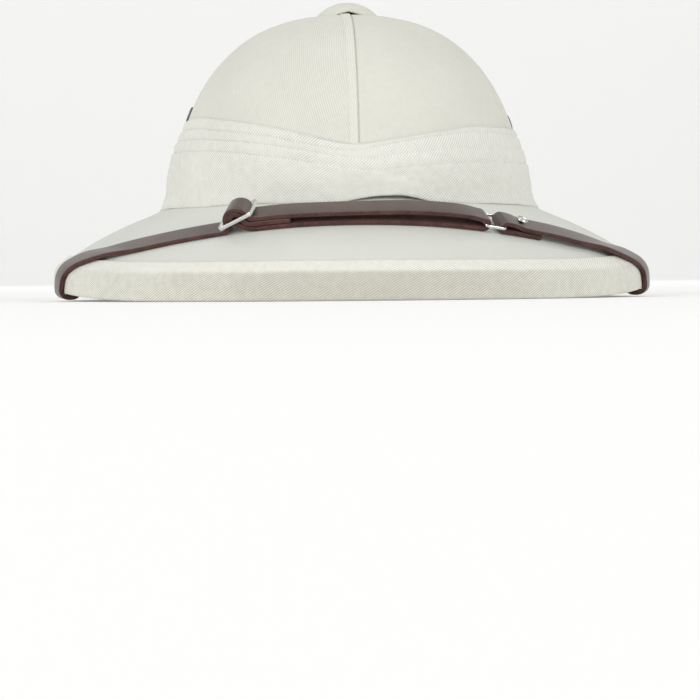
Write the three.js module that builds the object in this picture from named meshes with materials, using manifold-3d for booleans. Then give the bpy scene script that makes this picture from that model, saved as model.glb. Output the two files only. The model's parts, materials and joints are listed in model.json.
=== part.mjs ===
// A pith helmet: a moulded pith crown and brim under white twill, a cloth-bound rim, a pleated
// puggaree, a covered vent cap, two side eyelets, and a leather chin strap stowed over the brim.
//
// Millimetres, +Z up. The helmet stands on its rim at z = 0 and its front faces -Y. `turn` is the
// angle round the head, 0 at the front and growing towards +X.

import * as THREE from "three";
import { mergeVertices } from "three/addons/utils/BufferGeometryUtils.js";
import Module from "manifold-3d";

const wasm = await Module();
wasm.setup();

// ---------------------------------------------------------------- driving dimensions

const GAP = 0.3; // clearance between pieces that touch
const RINGS = 52; // steps round the head

const CROWN = {
  halfWidth: 88,
  halfLength: 107.5,
  foot: 47, // height of the brim's top where the crown stands on it
  height: 95,
  wall: 4,
  widthPower: 2.6, // exponents of the superellipse that the wall follows
  heightPower: 2.05,
};

const BRIM = {
  halfWidth: 147.7,
  front: 162.7,
  back: 170.7,
  wall: 4,
  straight: 0.72, // share of the fall that is a straight slope, the rest steepens to the rim
  bend: 0.92, // where the slope starts to bend down into the lip
  lip: 9.5, // height of the turned-down lip
};

const BEND_STEPS = 4; // steps round the bend from the slope to the lip

const RIM = { lift: 5.5, liftPower: 8, top: 0.87, cloth: 1, chamfer: 0.8 };

const PUGGAREE = { skin: 1, pleatStep: 0.85, foldLap: 0.25, pleats: 4, belly: 4.2, hemSlope: 25 };

// Height of the puggaree's upper edge and of its lowest pleat, round the head.
const PUGGAREE_EDGES = [
  { turn: -180, upper: 86.5, pleat: 69 },
  { turn: -130, upper: 88.5, pleat: 71.5 },
  { turn: -90, upper: 89.6, pleat: 73 },
  { turn: -66, upper: 89.4, pleat: 72.8 },
  { turn: -44, upper: 85.9, pleat: 70.6 },
  { turn: -26, upper: 81.2, pleat: 67.2 },
  { turn: -12, upper: 76.5, pleat: 63.4 },
  { turn: 0, upper: 73.4, pleat: 60.6 },
  { turn: 13, upper: 76.2, pleat: 61.6 },
  { turn: 26, upper: 79.2, pleat: 63.2 },
  { turn: 42, upper: 82.5, pleat: 65 },
  { turn: 62, upper: 83.8, pleat: 66 },
  { turn: 90, upper: 83.5, pleat: 66.4 },
  { turn: 130, upper: 84.5, pleat: 67.2 },
];

const CAP = { radius: 15.7, height: 6.6, wall: 1.6, notchHalf: 8.5, notchHigh: 2.9, stem: 3 };

const EYELET = {
  flange: 4.3,
  flangeThick: 0.8,
  barrel: 3,
  bore: 2.2,
  heights: { left: 93.3, right: 88.4 },
};

const STRAP = { width: 10.5, thick: 2.3, slack: 0.8, longest: 12, bend: 16 };
const LAYER = STRAP.thick + GAP; // pitch of strap layers that lie on each other
const FIRST_LAYER = GAP + STRAP.thick / 2; // height of the middle of the lowest one

// The lane that the strap follows on each half: `turn` round the head and `past` the rim's corner,
// measured over the brim, negative on its top and positive down the lip and on underneath.
const LANE = [
  { turn: 0, past: -44.4 },
  { turn: 10, past: -43.8 },
  { turn: 20, past: -41.6 },
  { turn: 30, past: -37.6 },
  { turn: 40, past: -32 },
  { turn: 50, past: -24.9 },
  { turn: 58, past: -18 },
  { turn: 65, past: -10.6 },
  { turn: 70.5, past: -2 },
  { turn: 72.6, past: 5 },
  { turn: 73.4, past: 12 },
  { turn: 74.6, past: 20 },
  { turn: 79.5, past: 40 },
  { turn: 83.5, past: 60 },
  { turn: 86.5, past: 76 },
];

// Places along the lane, from the front centre, positive towards +X.
const PLACES = { slide: -56.5, tailEnd: -32, ring: 62, stud: 77, shortTailEnd: 88 };

const SLIDE = { length: 18.4, across: 14.4, thick: 1.4, endBar: 2, midBar: 2, low: 4.45, high: 10.15 };
const RING = { length: 12.4, across: 14.2, wire: 1.6 };
const STUD = { head: 2.9, dome: 1.7, shank: 1.3, lift: 1.5 };
const POST = { head: 4, headThick: 1.4, shank: 1.5, depth: 2.4, inset: 5 };

// ---------------------------------------------------------------- small helpers

const radians = THREE.MathUtils.degToRad;
const v2 = (x, y) => new THREE.Vector2(x, y);
const v3 = (x, y, z) => new THREE.Vector3(x, y, z);

/** One closed body: the same geometry with only positions and shared vertices. */
function closed(geometry) {
  geometry.deleteAttribute("normal");
  geometry.deleteAttribute("uv");
  return mergeVertices(geometry, 1e-4);
}

function toSolid(geometry) {
  const merged = closed(geometry);
  return new wasm.Manifold(
    new wasm.Mesh({
      numProp: 3,
      vertProperties: new Float32Array(merged.getAttribute("position").array),
      triVerts: new Uint32Array(merged.index.array),
    }),
  );
}

function toGeometry(solid) {
  const mesh = solid.getMesh();
  const geometry = new THREE.BufferGeometry();
  geometry.setAttribute("position", new THREE.BufferAttribute(mesh.vertProperties, 3));
  geometry.setIndex(new THREE.BufferAttribute(mesh.triVerts, 1));
  return geometry;
}

/** The geometry with each cutter taken out of it. */
function cut(geometry, ...cutters) {
  const solid = cutters.reduce((left, cutter) => left.subtract(toSolid(cutter)), toSolid(geometry));
  return toGeometry(solid);
}

/** The angle of a lathe's step: half a step off the front, so that a flat facet lies there. */
const stepTurn = (step) => (-2 * Math.PI * ((step % RINGS) + 0.5)) / RINGS;

/** A ring round the head: sectionAt(turn) gives its closed cross-section as [outward, height]. */
function ringAround(sectionAt, placeAt) {
  const size = sectionAt(0).length;
  const loop = Array.from({ length: size + 1 }, (_, i) => v2(1, i));
  const geometry = new THREE.LatheGeometry(loop, RINGS);
  const position = geometry.getAttribute("position");
  for (let step = 0; step <= RINGS; step++) {
    const turn = stepTurn(step);
    sectionAt(turn).forEach((point, i) => {
      const place = placeAt(turn, point);
      position.setXYZ(step * (size + 1) + i, place.x, place.y, place.z);
      if (i === 0) position.setXYZ(step * (size + 1) + size, place.x, place.y, place.z);
    });
  }
  return geometry;
}

/** Smooth interpolation of a table's column round the head. */
function roundTheHead(table, column, turn) {
  const degrees = THREE.MathUtils.euclideanModulo((turn * 180) / Math.PI + 180, 360) - 180;
  const rows = [...table, { ...table[0], turn: table[0].turn + 360 }];
  const next = Math.max(1, rows.findIndex((row) => row.turn > degrees));
  const [from, to] = [rows[next - 1], rows[next]];
  const before = rows[next - 2] ?? { ...rows[rows.length - 2], turn: rows[rows.length - 2].turn - 360 };
  const after = rows[next + 1] ?? { ...rows[1], turn: rows[1].turn + 360 };
  const span = to.turn - from.turn;
  const slopeFrom = ((to[column] - before[column]) / (to.turn - before.turn)) * span;
  const slopeTo = ((after[column] - from[column]) / (after.turn - from.turn)) * span;
  const f = (degrees - from.turn) / span;
  return (
    (2 * f ** 3 - 3 * f ** 2 + 1) * from[column] +
    (f ** 3 - 2 * f ** 2 + f) * slopeFrom +
    (3 * f ** 2 - 2 * f ** 3) * to[column] +
    (f ** 3 - f ** 2) * slopeTo
  );
}

// ---------------------------------------------------------------- the crown

/** Share of the crown's foot width that is left at a height above the foot, from 1 to 0. */
function crownShare(height) {
  const h = THREE.MathUtils.clamp((height - CROWN.foot) / CROWN.height, 0, 1);
  return (1 - h ** CROWN.heightPower) ** (1 / CROWN.widthPower);
}

/** A point `out` beyond the crown's wall at a height. */
function besideCrown(turn, height, out) {
  const share = crownShare(height);
  return v3(
    (CROWN.halfWidth * share + out) * Math.sin(turn),
    -(CROWN.halfLength * share + out) * Math.cos(turn),
    height,
  );
}

/** Outward direction of the crown's wall at its side, where it slopes in by `rise`. */
function sideNormal(height, side) {
  const step = 0.5;
  const lean = (crownShare(height - step) - crownShare(height + step)) * CROWN.halfWidth;
  return v3(side * 2 * step, 0, lean).normalize();
}

/** Half the dome's section, from the axis at the top to the foot. */
function domeLine(inset) {
  const steps = 9;
  return Array.from({ length: steps + 1 }, (_, i) => {
    const angle = (Math.PI / 2) * (1 - i / steps);
    return {
      inset,
      share: i === 0 ? 0 : Math.cos(angle) ** (2 / CROWN.widthPower),
      height: CROWN.foot + GAP + (CROWN.height - inset) * Math.sin(angle) ** (2 / CROWN.heightPower),
    };
  });
}

function crown() {
  const rows = [...domeLine(0), ...domeLine(CROWN.wall).reverse()];
  const geometry = new THREE.LatheGeometry(rows.map((row, i) => v2(row.share, i)), RINGS);
  const position = geometry.getAttribute("position");
  for (let i = 0; i < position.count; i++) {
    const turn = stepTurn(Math.floor(i / rows.length));
    const row = rows[i % rows.length];
    position.setXYZ(
      i,
      (CROWN.halfWidth - row.inset) * row.share * Math.sin(turn),
      -(CROWN.halfLength - row.inset) * row.share * Math.cos(turn),
      row.height,
    );
  }
  const drills = ["left", "right"].map((side) => {
    const drill = new THREE.CylinderGeometry(EYELET.barrel + GAP, EYELET.barrel + GAP, 24, 24);
    return drill.rotateX(Math.PI / 2).applyMatrix4(eyeletPlace(side));
  });
  return cut(geometry, ...drills);
}

// ---------------------------------------------------------------- the brim and its binding

const reach = (turn) => (Math.cos(turn) > 0 ? BRIM.front : BRIM.back);

/** A point `out` from the crown's foot towards the rim, at a height. */
function overBrim(turn, out, height) {
  const foot = v3(CROWN.halfWidth * Math.sin(turn), -CROWN.halfLength * Math.cos(turn), height);
  const rim = v3(BRIM.halfWidth * Math.sin(turn), -reach(turn) * Math.cos(turn), height);
  return foot.lerp(rim, out / foot.distanceTo(rim));
}

const brimWidth = (turn) =>
  Math.hypot(
    (BRIM.halfWidth - CROWN.halfWidth) * Math.sin(turn),
    (reach(turn) - CROWN.halfLength) * Math.cos(turn),
  );

/** Height of the rim's lowest face: on the ground at front and back, lifted at the sides. */
const rimBottom = (turn) => RIM.lift * Math.abs(Math.sin(turn)) ** RIM.liftPower;

/** The brim's outer line from the crown's foot to the bottom of its lip, as [outward, height]. */
function brimLine(turn) {
  const wide = brimWidth(turn);
  const bottom = rimBottom(turn) + GAP + RIM.cloth;
  const corner = v2(wide, bottom + BRIM.lip);
  const fall = CROWN.foot - corner.y;
  const slope = (u) =>
    v2(u * wide, CROWN.foot - fall * (BRIM.straight * u + (1 - BRIM.straight) * u ** 3));
  const start = slope(BRIM.bend);
  const end = v2(wide, corner.y - start.distanceTo(corner));
  const bend = new THREE.QuadraticBezierCurve(start, corner, end).getPoints(BEND_STEPS);
  const flat = [0, 0.25, 0.5, 0.7, RIM.top].map(slope);
  return [...flat, ...bend, v2(wide, bottom)];
}

/** A line moved sideways by `by`, outwards where it is positive. */
function offset(line, by) {
  return line.map((point, i) => {
    const before = line[Math.max(i - 1, 0)];
    const after = line[Math.min(i + 1, line.length - 1)];
    const along = after.clone().sub(before).normalize();
    return v2(point.x - along.y * by, point.y + along.x * by);
  });
}

const placeOnBrim = (turn, point) => overBrim(turn, point.x, point.y);

function brim() {
  const section = (turn) => {
    const top = brimLine(turn);
    const under = offset(top, -BRIM.wall).reverse();
    const low = CROWN.foot - BRIM.wall;
    return [v2(-CROWN.wall, CROWN.foot), ...top, ...under, v2(-CROWN.wall, low)];
  };
  const posts = [-1, 1].map((side) =>
    new THREE.CylinderGeometry(POST.shank + GAP, POST.shank + GAP, 2 * (POST.depth + GAP), 16)
      .rotateX(Math.PI / 2)
      .applyMatrix4(postPlace(side)),
  );
  return cut(ringAround(section, placeOnBrim), ...posts);
}

/** The binding's two faces over the lip: the outer one and the one on the brim. */
function bindingLines(turn) {
  const line = brimLine(turn);
  const from = line.findIndex((point) => point.x >= RIM.top * brimWidth(turn) - 1e-9);
  const outer = offset(line, GAP + RIM.cloth).slice(from);
  const inner = offset(line, GAP).slice(from);
  return { outer, inner, edge: line[line.length - 1], straight: line[line.length - 2] };
}

function binding() {
  const section = (turn) => {
    const { outer, inner, edge, straight } = bindingLines(turn);
    const thick = GAP + RIM.cloth;
    const back = edge.x - BRIM.wall;
    return [
      ...outer,
      v2(edge.x + thick, edge.y - thick + RIM.chamfer),
      v2(edge.x + thick - RIM.chamfer, edge.y - thick),
      v2(back - thick + RIM.chamfer, edge.y - thick),
      v2(back - thick, edge.y - thick + RIM.chamfer),
      v2(back - thick, straight.y - GAP),
      v2(back - GAP, straight.y - GAP),
      v2(back - GAP, edge.y - GAP),
      v2(edge.x + GAP, edge.y - GAP),
      ...inner.reverse(),
    ];
  };
  return ringAround(section, placeOnBrim);
}

// ---------------------------------------------------------------- the puggaree

function puggaree() {
  const section = (turn) => {
    const upper = roundTheHead(PUGGAREE_EDGES, "upper", turn);
    const lowest = roundTheHead(PUGGAREE_EDGES, "pleat", turn);
    const pitch = (upper - lowest) / (PUGGAREE.pleats - 1);
    const fall = Math.tan(radians(PUGGAREE.hemSlope));
    const folds = Array.from({ length: PUGGAREE.pleats }, (_, i) => upper - i * pitch);
    const outer = folds.flatMap((height, i) => {
      const out = GAP + PUGGAREE.skin + i * PUGGAREE.pleatStep;
      const above = i === 0 ? [] : [v2(out - PUGGAREE.pleatStep, height + PUGGAREE.foldLap)];
      return [...above, v2(out, height - (i === 0 ? 0 : PUGGAREE.foldLap))];
    });
    const foot = CROWN.foot + 2 * GAP;
    const middle = (lowest + foot) / 2;
    const inner = [foot, middle, ...folds.slice(1).reverse(), upper].map((height) => v2(GAP, height));
    const belly = v2(PUGGAREE.belly, middle);
    const hem = v2(PUGGAREE.belly, foot - PUGGAREE.belly * fall + GAP);
    return [...outer, belly, hem, ...inner];
  };
  return ringAround(section, (turn, point) => besideCrown(turn, point.y, point.x));
}

// ---------------------------------------------------------------- the vent cap

const capFoot = CROWN.foot + CROWN.height + 2 * GAP;

function capDome(radius, height) {
  const ball = (radius ** 2 + height ** 2) / (2 * height);
  const reachAngle = Math.asin(radius / ball);
  const steps = 6;
  return Array.from({ length: steps + 1 }, (_, i) => {
    const angle = (reachAngle * i) / steps;
    return v2(i === 0 ? 0 : ball * Math.sin(angle), height - ball * (1 - Math.cos(angle)));
  });
}

function ventCap() {
  const outer = capDome(CAP.radius, CAP.height).reverse();
  const inner = capDome(CAP.radius - CAP.wall, CAP.height - CAP.wall);
  const dome = new THREE.LatheGeometry([...inner, ...outer], 32).rotateX(Math.PI / 2);
  const notch = new THREE.Shape([
    v2(-CAP.notchHalf, -1),
    v2(CAP.notchHalf, -1),
    v2(CAP.notchHalf, 0),
    v2(0, CAP.notchHigh),
    v2(-CAP.notchHalf, 0),
  ]);
  const wedge = new THREE.ExtrudeGeometry(notch, { depth: CAP.radius, bevelEnabled: false });
  wedge.rotateX(Math.PI / 2);
  return cut(dome, wedge).translate(0, 0, capFoot);
}

function capStem() {
  const top = capFoot + CAP.height - CAP.wall - GAP;
  const bottom = capFoot;
  const stem = new THREE.CylinderGeometry(CAP.stem, CAP.stem, top - bottom, 16);
  return stem.rotateX(Math.PI / 2).translate(0, 0, (top + bottom) / 2);
}

// ---------------------------------------------------------------- the side eyelets

/** Puts a piece made along +Z at a side's vent, with +Z pointing out of the crown. */
function eyeletPlace(side) {
  const sign = side === "left" ? -1 : 1;
  const height = EYELET.heights[side];
  const normal = sideNormal(height, sign);
  const place = besideCrown((sign * Math.PI) / 2, height, 0).addScaledVector(normal, 2 * GAP);
  const turned = new THREE.Quaternion().setFromUnitVectors(v3(0, 0, 1), normal);
  return new THREE.Matrix4().compose(place, turned, v3(1, 1, 1));
}

function eyelet(side) {
  const { flange, flangeThick, barrel, bore } = EYELET;
  const section = [
    v2(bore, -CROWN.wall - 2 * GAP),
    v2(barrel, -CROWN.wall - 2 * GAP),
    v2(barrel, 0),
    v2(flange, 0),
    v2(flange - 0.2, flangeThick * 0.7),
    v2((flange + bore) / 2, flangeThick),
    v2(bore, flangeThick * 0.7),
  ];
  const ring = new THREE.LatheGeometry([...section, section[0].clone()], 20);
  return ring.rotateX(Math.PI / 2).applyMatrix4(eyeletPlace(side));
}

// ---------------------------------------------------------------- the strap's lane

/** The line that a tight strap follows: over the brim and the binding, round the lip and back in. */
function beltLine(turn) {
  const line = brimLine(turn);
  const edge = line[line.length - 1];
  const thick = GAP + RIM.cloth + STRAP.slack;
  const from = line.length - bindingLines(turn).outer.length;
  const top = line.slice(0, from - 1);
  const outer = offset(line, thick).slice(from);
  const middle = v2(edge.x - BRIM.wall / 2, edge.y + 1.2);
  const across = BRIM.wall / 2 + thick;
  const down = middle.y - edge.y + thick;
  const square = 0.7; // exponent that turns the half ellipse into a rounded rectangle
  const round = Array.from({ length: 11 }, (_, i) => {
    const [cos, sin] = [Math.cos((Math.PI * i) / 10), Math.sin((Math.PI * i) / 10)];
    return v2(
      middle.x + across * Math.sign(cos) * Math.abs(cos) ** square,
      middle.y - down * Math.abs(sin) ** square,
    );
  });
  const inner = v2(2, CROWN.foot - BRIM.wall - 3 * GAP - STRAP.thick);
  const corner = top.length + 1 + BEND_STEPS / 2; // the middle of the bend
  return { points: [...top, ...outer.slice(0, -1), ...round, inner], corner };
}

/** The point `past` the rim's corner along the belt, and the direction away from the brim. */
function belt(turn, past) {
  const { points, corner } = beltLine(turn);
  const lengths = [0];
  for (let i = 1; i < points.length; i++) {
    lengths.push(lengths[i - 1] + points[i].distanceTo(points[i - 1]));
  }
  const target = lengths[corner] + past;
  let i = lengths.findIndex((length) => length > target);
  if (i < 1) i = i < 0 ? points.length - 1 : 1;
  const f = (target - lengths[i - 1]) / (lengths[i] - lengths[i - 1]);
  const point = points[i - 1].clone().lerp(points[i], f);
  const normalAt = (j) => {
    const along = points[Math.min(j + 1, points.length - 1)].clone().sub(points[Math.max(j - 1, 0)]);
    return v2(-along.y, along.x).normalize();
  };
  const normal = normalAt(i - 1).lerp(normalAt(i), THREE.MathUtils.clamp(f, 0, 1)).normalize();
  const place = overBrim(turn, point.x, point.y);
  const away = overBrim(turn, point.x + normal.x, point.y + normal.y).sub(place).normalize();
  return { place, away };
}

/** The lane sampled from one end under the brim to the other, with the length from the front. */
const lane = (() => {
  const half = LANE.map((row) => v3(row.turn, row.past, 0));
  const other = half.slice(1).map((row) => v3(-row.x, row.y, 0)).reverse();
  const samples = new THREE.CatmullRomCurve3([...other, ...half]).getPoints(600);
  const places = samples.map((sample) => belt(radians(sample.x), sample.y).place);
  const lengths = [0];
  for (let i = 1; i < places.length; i++) {
    lengths.push(lengths[i - 1] + places[i].distanceTo(places[i - 1]));
  }
  const middle = lengths[lengths.length - 1] / 2;
  return { samples, lengths: lengths.map((length) => length - middle), end: middle };
})();

function laneAt(along) {
  const { samples, lengths, end } = lane;
  const target = THREE.MathUtils.clamp(along, -end, end);
  let i = lengths.findIndex((length) => length > target);
  if (i < 1) i = samples.length - 1;
  const f = (target - lengths[i - 1]) / (lengths[i] - lengths[i - 1]);
  const sample = samples[i - 1].clone().lerp(samples[i], f);
  return { turn: radians(sample.x), past: sample.y };
}

/** How `turn` and `past` change for each millimetre across the lane, towards the crown. */
function acrossLane(along) {
  const step = 0.5;
  const here = laneAt(along);
  const [from, to] = [laneAt(along - step), laneAt(along + step)];
  const at = (turn, past) => belt(turn, past).place;
  const byTurn = at(here.turn + 0.01, here.past).sub(at(here.turn - 0.01, here.past)).multiplyScalar(50);
  const byPast = at(here.turn, here.past + step).sub(at(here.turn, here.past - step));
  const forward = at(to.turn, to.past).sub(at(from.turn, from.past)).normalize();
  const side = forward.clone().cross(belt(here.turn, here.past).away).normalize().negate();
  const [tt, pp, tp] = [byTurn.dot(byTurn), byPast.dot(byPast), byTurn.dot(byPast)];
  const [ts, ps] = [byTurn.dot(side), byPast.dot(side)];
  const whole = tt * pp - tp * tp;
  return { turn: (ts * pp - ps * tp) / whole, past: (ps * tt - ts * tp) / whole };
}

/** A point of the strap's own space: `along` the lane, `high` over the brim, `side` across it. */
function overLane(along, high, side) {
  const here = laneAt(along);
  const across = acrossLane(along);
  const { place, away } = belt(here.turn + side * across.turn, here.past + side * across.past);
  return place.addScaledVector(away, high);
}

/** The lane's own axes at a place, for rigid metal that sits on the strap. */
function lanePlace(along, high, tilt = 0) {
  const origin = overLane(along, high, 0);
  const forward = overLane(along + 1, high, 0).sub(overLane(along - 1, high, 0)).normalize();
  const up = overLane(along, high + 1, 0).sub(origin).normalize();
  const side = up.clone().cross(forward).normalize();
  const frame = new THREE.Matrix4().makeBasis(forward, side, forward.clone().cross(side));
  return new THREE.Matrix4()
    .setPosition(origin)
    .multiply(frame)
    .multiply(new THREE.Matrix4().makeRotationY(-tilt));
}

// ---------------------------------------------------------------- the leather straps

/** The places along a strap where its direction has changed enough to need a new section. */
function stations(path) {
  const count = Math.ceil(path.getLength() / 0.5);
  path.arcLengthDivisions = 4 * count;
  path.updateArcLengths();
  const fine = path.getSpacedPoints(count);
  const lines = [-STRAP.width / 2, 0, STRAP.width / 2].map((side) =>
    fine.map((point) => overLane(point.x, point.y, side)),
  );
  const keep = [0];
  for (let i = 1; i < fine.length - 1; i++) {
    const last = keep[keep.length - 1];
    const bent = lines.some((places) => {
      const was = places[last + 1].clone().sub(places[last]);
      const now = places[i + 1].clone().sub(places[i]);
      return was.angleTo(now) > radians(STRAP.bend);
    });
    if (bent || lines[1][i].distanceTo(lines[1][last]) > STRAP.longest) keep.push(i);
  }
  keep.push(fine.length - 1);
  return keep.map((i) => {
    const along = fine[Math.min(i + 1, fine.length - 1)].clone().sub(fine[Math.max(i - 1, 0)]).normalize();
    return { point: fine[i], normal: v2(-along.y, along.x) };
  });
}

/** A flat strap whose middle follows `points`, given as [along, high]. */
function strap(points) {
  const rows = stations(new THREE.SplineCurve(points));
  const steps = rows.length - 1;
  const geometry = new THREE.BoxGeometry(steps, STRAP.width, STRAP.thick, steps, 2, 1);
  const position = geometry.getAttribute("position");
  for (let i = 0; i < position.count; i++) {
    const { point, normal } = rows[Math.round(position.getX(i) + steps / 2)];
    const thick = position.getZ(i);
    const place = overLane(point.x + thick * normal.x, point.y + thick * normal.y, position.getY(i));
    position.setXYZ(i, place.x, place.y, place.z);
  }
  return geometry;
}

/** Points of an arc in the strap's side view. */
function arc(along, high, radius, from, to, steps) {
  return Array.from({ length: steps + 1 }, (_, i) => {
    const angle = radians(from + ((to - from) * i) / steps);
    return v2(along + radius * Math.cos(angle), high + radius * Math.sin(angle));
  });
}

/** A straight run with a point every few millimetres. */
function run(from, to) {
  const steps = Math.ceil(from.distanceTo(to) / 12);
  return Array.from({ length: steps + 1 }, (_, i) => from.clone().lerp(to, i / steps));
}

const slideMiddle = (SLIDE.low + SLIDE.high) / 2;
const slideTilt = Math.atan2(SLIDE.high - SLIDE.low, SLIDE.length - SLIDE.endBar);
const longFold = { along: PLACES.ring - 4.2, radius: 2.8 };
const shortFold = { along: PLACES.ring + 4.4, radius: 2.4 };

/** From the tail under the upper layer, round the slide's middle bar, out to the ring and back,
 *  over the middle bar, and away over the brim to the post under its left side. */
function longStrap() {
  const at = (along, high) => v2(PLACES.slide + along, high);
  const second = FIRST_LAYER + LAYER;
  const third = second + LAYER;
  const loop = longFold.radius;
  const points = [
    ...run(v2(PLACES.tailEnd, second), at(11, second)),
    at(8.2, second),
    at(5.9, 4.15),
    at(4.2, 4.9),
    at(3.1, 6.3),
    ...arc(PLACES.slide, slideMiddle, 2.65, 20, 270, 8),
    at(2, 3.7),
    at(4, 2.4),
    at(6, 1.65),
    ...run(at(9, FIRST_LAYER), v2(longFold.along - 2, FIRST_LAYER)),
    ...arc(longFold.along, FIRST_LAYER + loop, loop, -90, 90, 6),
    ...run(v2(longFold.along - 6, FIRST_LAYER + 2 * loop - 0.1), v2(24, 5.7)),
    v2(6, 5.25),
    v2(-12, 5.6),
    v2(PLACES.tailEnd + 3, third - 0.15),
    v2(PLACES.tailEnd - 4, third),
    at(11, third),
    at(8.2, third),
    at(6.9, 6.85),
    at(5.9, 7.8),
    at(5.1, 9.6),
    at(3.4, 11.6),
    at(0.6, 12.4),
    at(-2.1, 11.7),
    at(-4.1, 9.6),
    at(-5.05, 7.2),
    at(-5, 5),
    at(-5.05, 3.5),
    at(-5.6, 2.2),
    at(-7, 1.6),
    at(-8.6, FIRST_LAYER),
    ...run(at(-13, FIRST_LAYER), v2(-lane.end, FIRST_LAYER)),
  ];
  return cut(strap(points), postHole(-1));
}

/** Round the ring and away over the brim to the post under its right side. */
function shortStrap() {
  const { along, radius } = shortFold;
  const end = PLACES.shortTailEnd;
  const points = [
    ...run(v2(end, FIRST_LAYER), v2(along + 5, FIRST_LAYER)),
    ...arc(along, FIRST_LAYER + radius, radius, 270, 90, 6),
    v2(along + 5, FIRST_LAYER + 2 * radius - 0.4),
    v2(PLACES.stud, FIRST_LAYER + LAYER + 0.35),
    v2(end - 4, FIRST_LAYER + LAYER),
    v2(end + 2, FIRST_LAYER + LAYER - 0.5),
    v2(end + 9, FIRST_LAYER + 0.2),
    ...run(v2(end + 14, FIRST_LAYER), v2(lane.end, FIRST_LAYER)),
  ];
  const hole = new THREE.CylinderGeometry(STUD.shank + GAP, STUD.shank + GAP, 30, 16);
  return cut(strap(points), hole.rotateX(Math.PI / 2).applyMatrix4(studPlace()), postHole(1));
}

// ---------------------------------------------------------------- the strap's metal

function slide() {
  const { length, across, endBar, midBar, thick } = SLIDE;
  const rectangle = (type, x, width, height, corner) => {
    const [w, h] = [width / 2, height / 2];
    return new type()
      .moveTo(x - w + corner, -h)
      .lineTo(x + w - corner, -h)
      .quadraticCurveTo(x + w, -h, x + w, -h + corner)
      .lineTo(x + w, h - corner)
      .quadraticCurveTo(x + w, h, x + w - corner, h)
      .lineTo(x - w + corner, h)
      .quadraticCurveTo(x - w, h, x - w, h - corner)
      .lineTo(x - w, -h + corner)
      .quadraticCurveTo(x - w, -h, x - w + corner, -h);
  };
  const plate = rectangle(THREE.Shape, 0, length, across, 1.6);
  const window = (length - 2 * endBar - midBar) / 2;
  for (const side of [-1, 1]) {
    const middle = (side * (midBar + window)) / 2;
    plate.holes.push(rectangle(THREE.Path, middle, window, STRAP.width + 4 * GAP, 0.5));
  }
  const geometry = new THREE.ExtrudeGeometry(plate, { depth: thick, bevelEnabled: false, curveSegments: 4 });
  return geometry.translate(0, 0, -thick / 2).applyMatrix4(lanePlace(PLACES.slide, slideMiddle, slideTilt));
}

/** A wire ring with rounded corners: a torus pulled out to a rectangle. */
function linkRing() {
  const { length, across, wire } = RING;
  const corner = 2;
  const geometry = new THREE.TorusGeometry(corner, wire / 2, 8, 24);
  const position = geometry.getAttribute("position");
  for (let i = 0; i < position.count; i++) {
    const [x, y] = [position.getX(i), position.getY(i)];
    const away = (value, size) => value + Math.sign(Math.round(value * 1e4)) * (size / 2 - corner - wire / 2);
    position.setXY(i, away(x, length), away(y, across));
  }
  const left = FIRST_LAYER + longFold.radius;
  const right = FIRST_LAYER + shortFold.radius;
  const tilt = Math.atan2(right - left, length);
  return geometry.applyMatrix4(lanePlace(PLACES.ring, (left + right) / 2, tilt));
}

const studPlace = () => lanePlace(PLACES.stud, 2 * LAYER + STUD.lift);

/** A domed rivet whose shank goes through both layers of the short strap. */
function stud() {
  const { head, dome, shank } = STUD;
  const section = [
    v2(0, -2 * LAYER),
    v2(shank, -2 * LAYER),
    v2(shank, 0),
    v2(head, 0),
    v2(head, dome * 0.25),
    v2(head * 0.82, dome * 0.7),
    v2(head * 0.45, dome * 0.95),
    v2(0, dome),
  ];
  return new THREE.LatheGeometry(section, 20).rotateX(Math.PI / 2).applyMatrix4(studPlace());
}

/** Where a post goes up through the strap's end into the brim, with +Z pointing into the brim. */
function postPlace(side) {
  const along = side * (lane.end - POST.inset);
  const place = lanePlace(along, -GAP);
  return place.multiply(new THREE.Matrix4().makeRotationY(Math.PI));
}

function postHole(side) {
  const hole = new THREE.CylinderGeometry(POST.shank + GAP, POST.shank + GAP, 30, 16);
  return hole.rotateX(Math.PI / 2).applyMatrix4(postPlace(side));
}

/** One plain post that holds the strap's end up against the brim. */
function post(side) {
  const { head, headThick, shank, depth } = POST;
  const under = -STRAP.thick - 3 * GAP;
  const section = [
    v2(0, under - headThick),
    v2(head, under - headThick),
    v2(head, under),
    v2(shank, under),
    v2(shank, depth),
    v2(0, depth),
  ];
  return new THREE.LatheGeometry(section, 16).rotateX(Math.PI / 2).applyMatrix4(postPlace(side));
}

// ---------------------------------------------------------------- the helmet

const finish = (color, roughness, metalness = 0) =>
  new THREE.MeshStandardMaterial({ color, roughness, metalness });
const twill = finish("#ecebe1", 0.9);
const pith = finish("#e4e4da", 0.92);
const leather = finish("#3f2b26", 0.45);
const nickel = finish("#c9c9c6", 0.25, 1);

// The group is moved so that its origin is under the middle of the rim.
const helmet = new THREE.Group();
helmet.name = "pith_helmet";
helmet.position.y = (BRIM.front - BRIM.back) / 2;

const pieces = [
  ["crown", crown(), pith],
  ["brim", brim(), pith],
  ["rim_binding", binding(), twill],
  ["puggaree", puggaree(), twill],
  ["vent_cap", ventCap(), twill],
  ["vent_cap_stem", capStem(), nickel],
  ["vent_eyelet_left", eyelet("left"), nickel],
  ["vent_eyelet_right", eyelet("right"), nickel],
  ["chin_strap_long", longStrap(), leather],
  ["chin_strap_short", shortStrap(), leather],
  ["slide_buckle", slide(), nickel],
  ["link_ring", linkRing(), nickel],
  ["strap_stud", stud(), nickel],
  ["strap_post_left", post(-1), nickel],
  ["strap_post_right", post(1), nickel],
];

for (const [name, geometry, material] of pieces) {
  const mesh = new THREE.Mesh(closed(geometry), material);
  mesh.name = name;
  helmet.add(mesh);
}

export default helmet;
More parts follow.
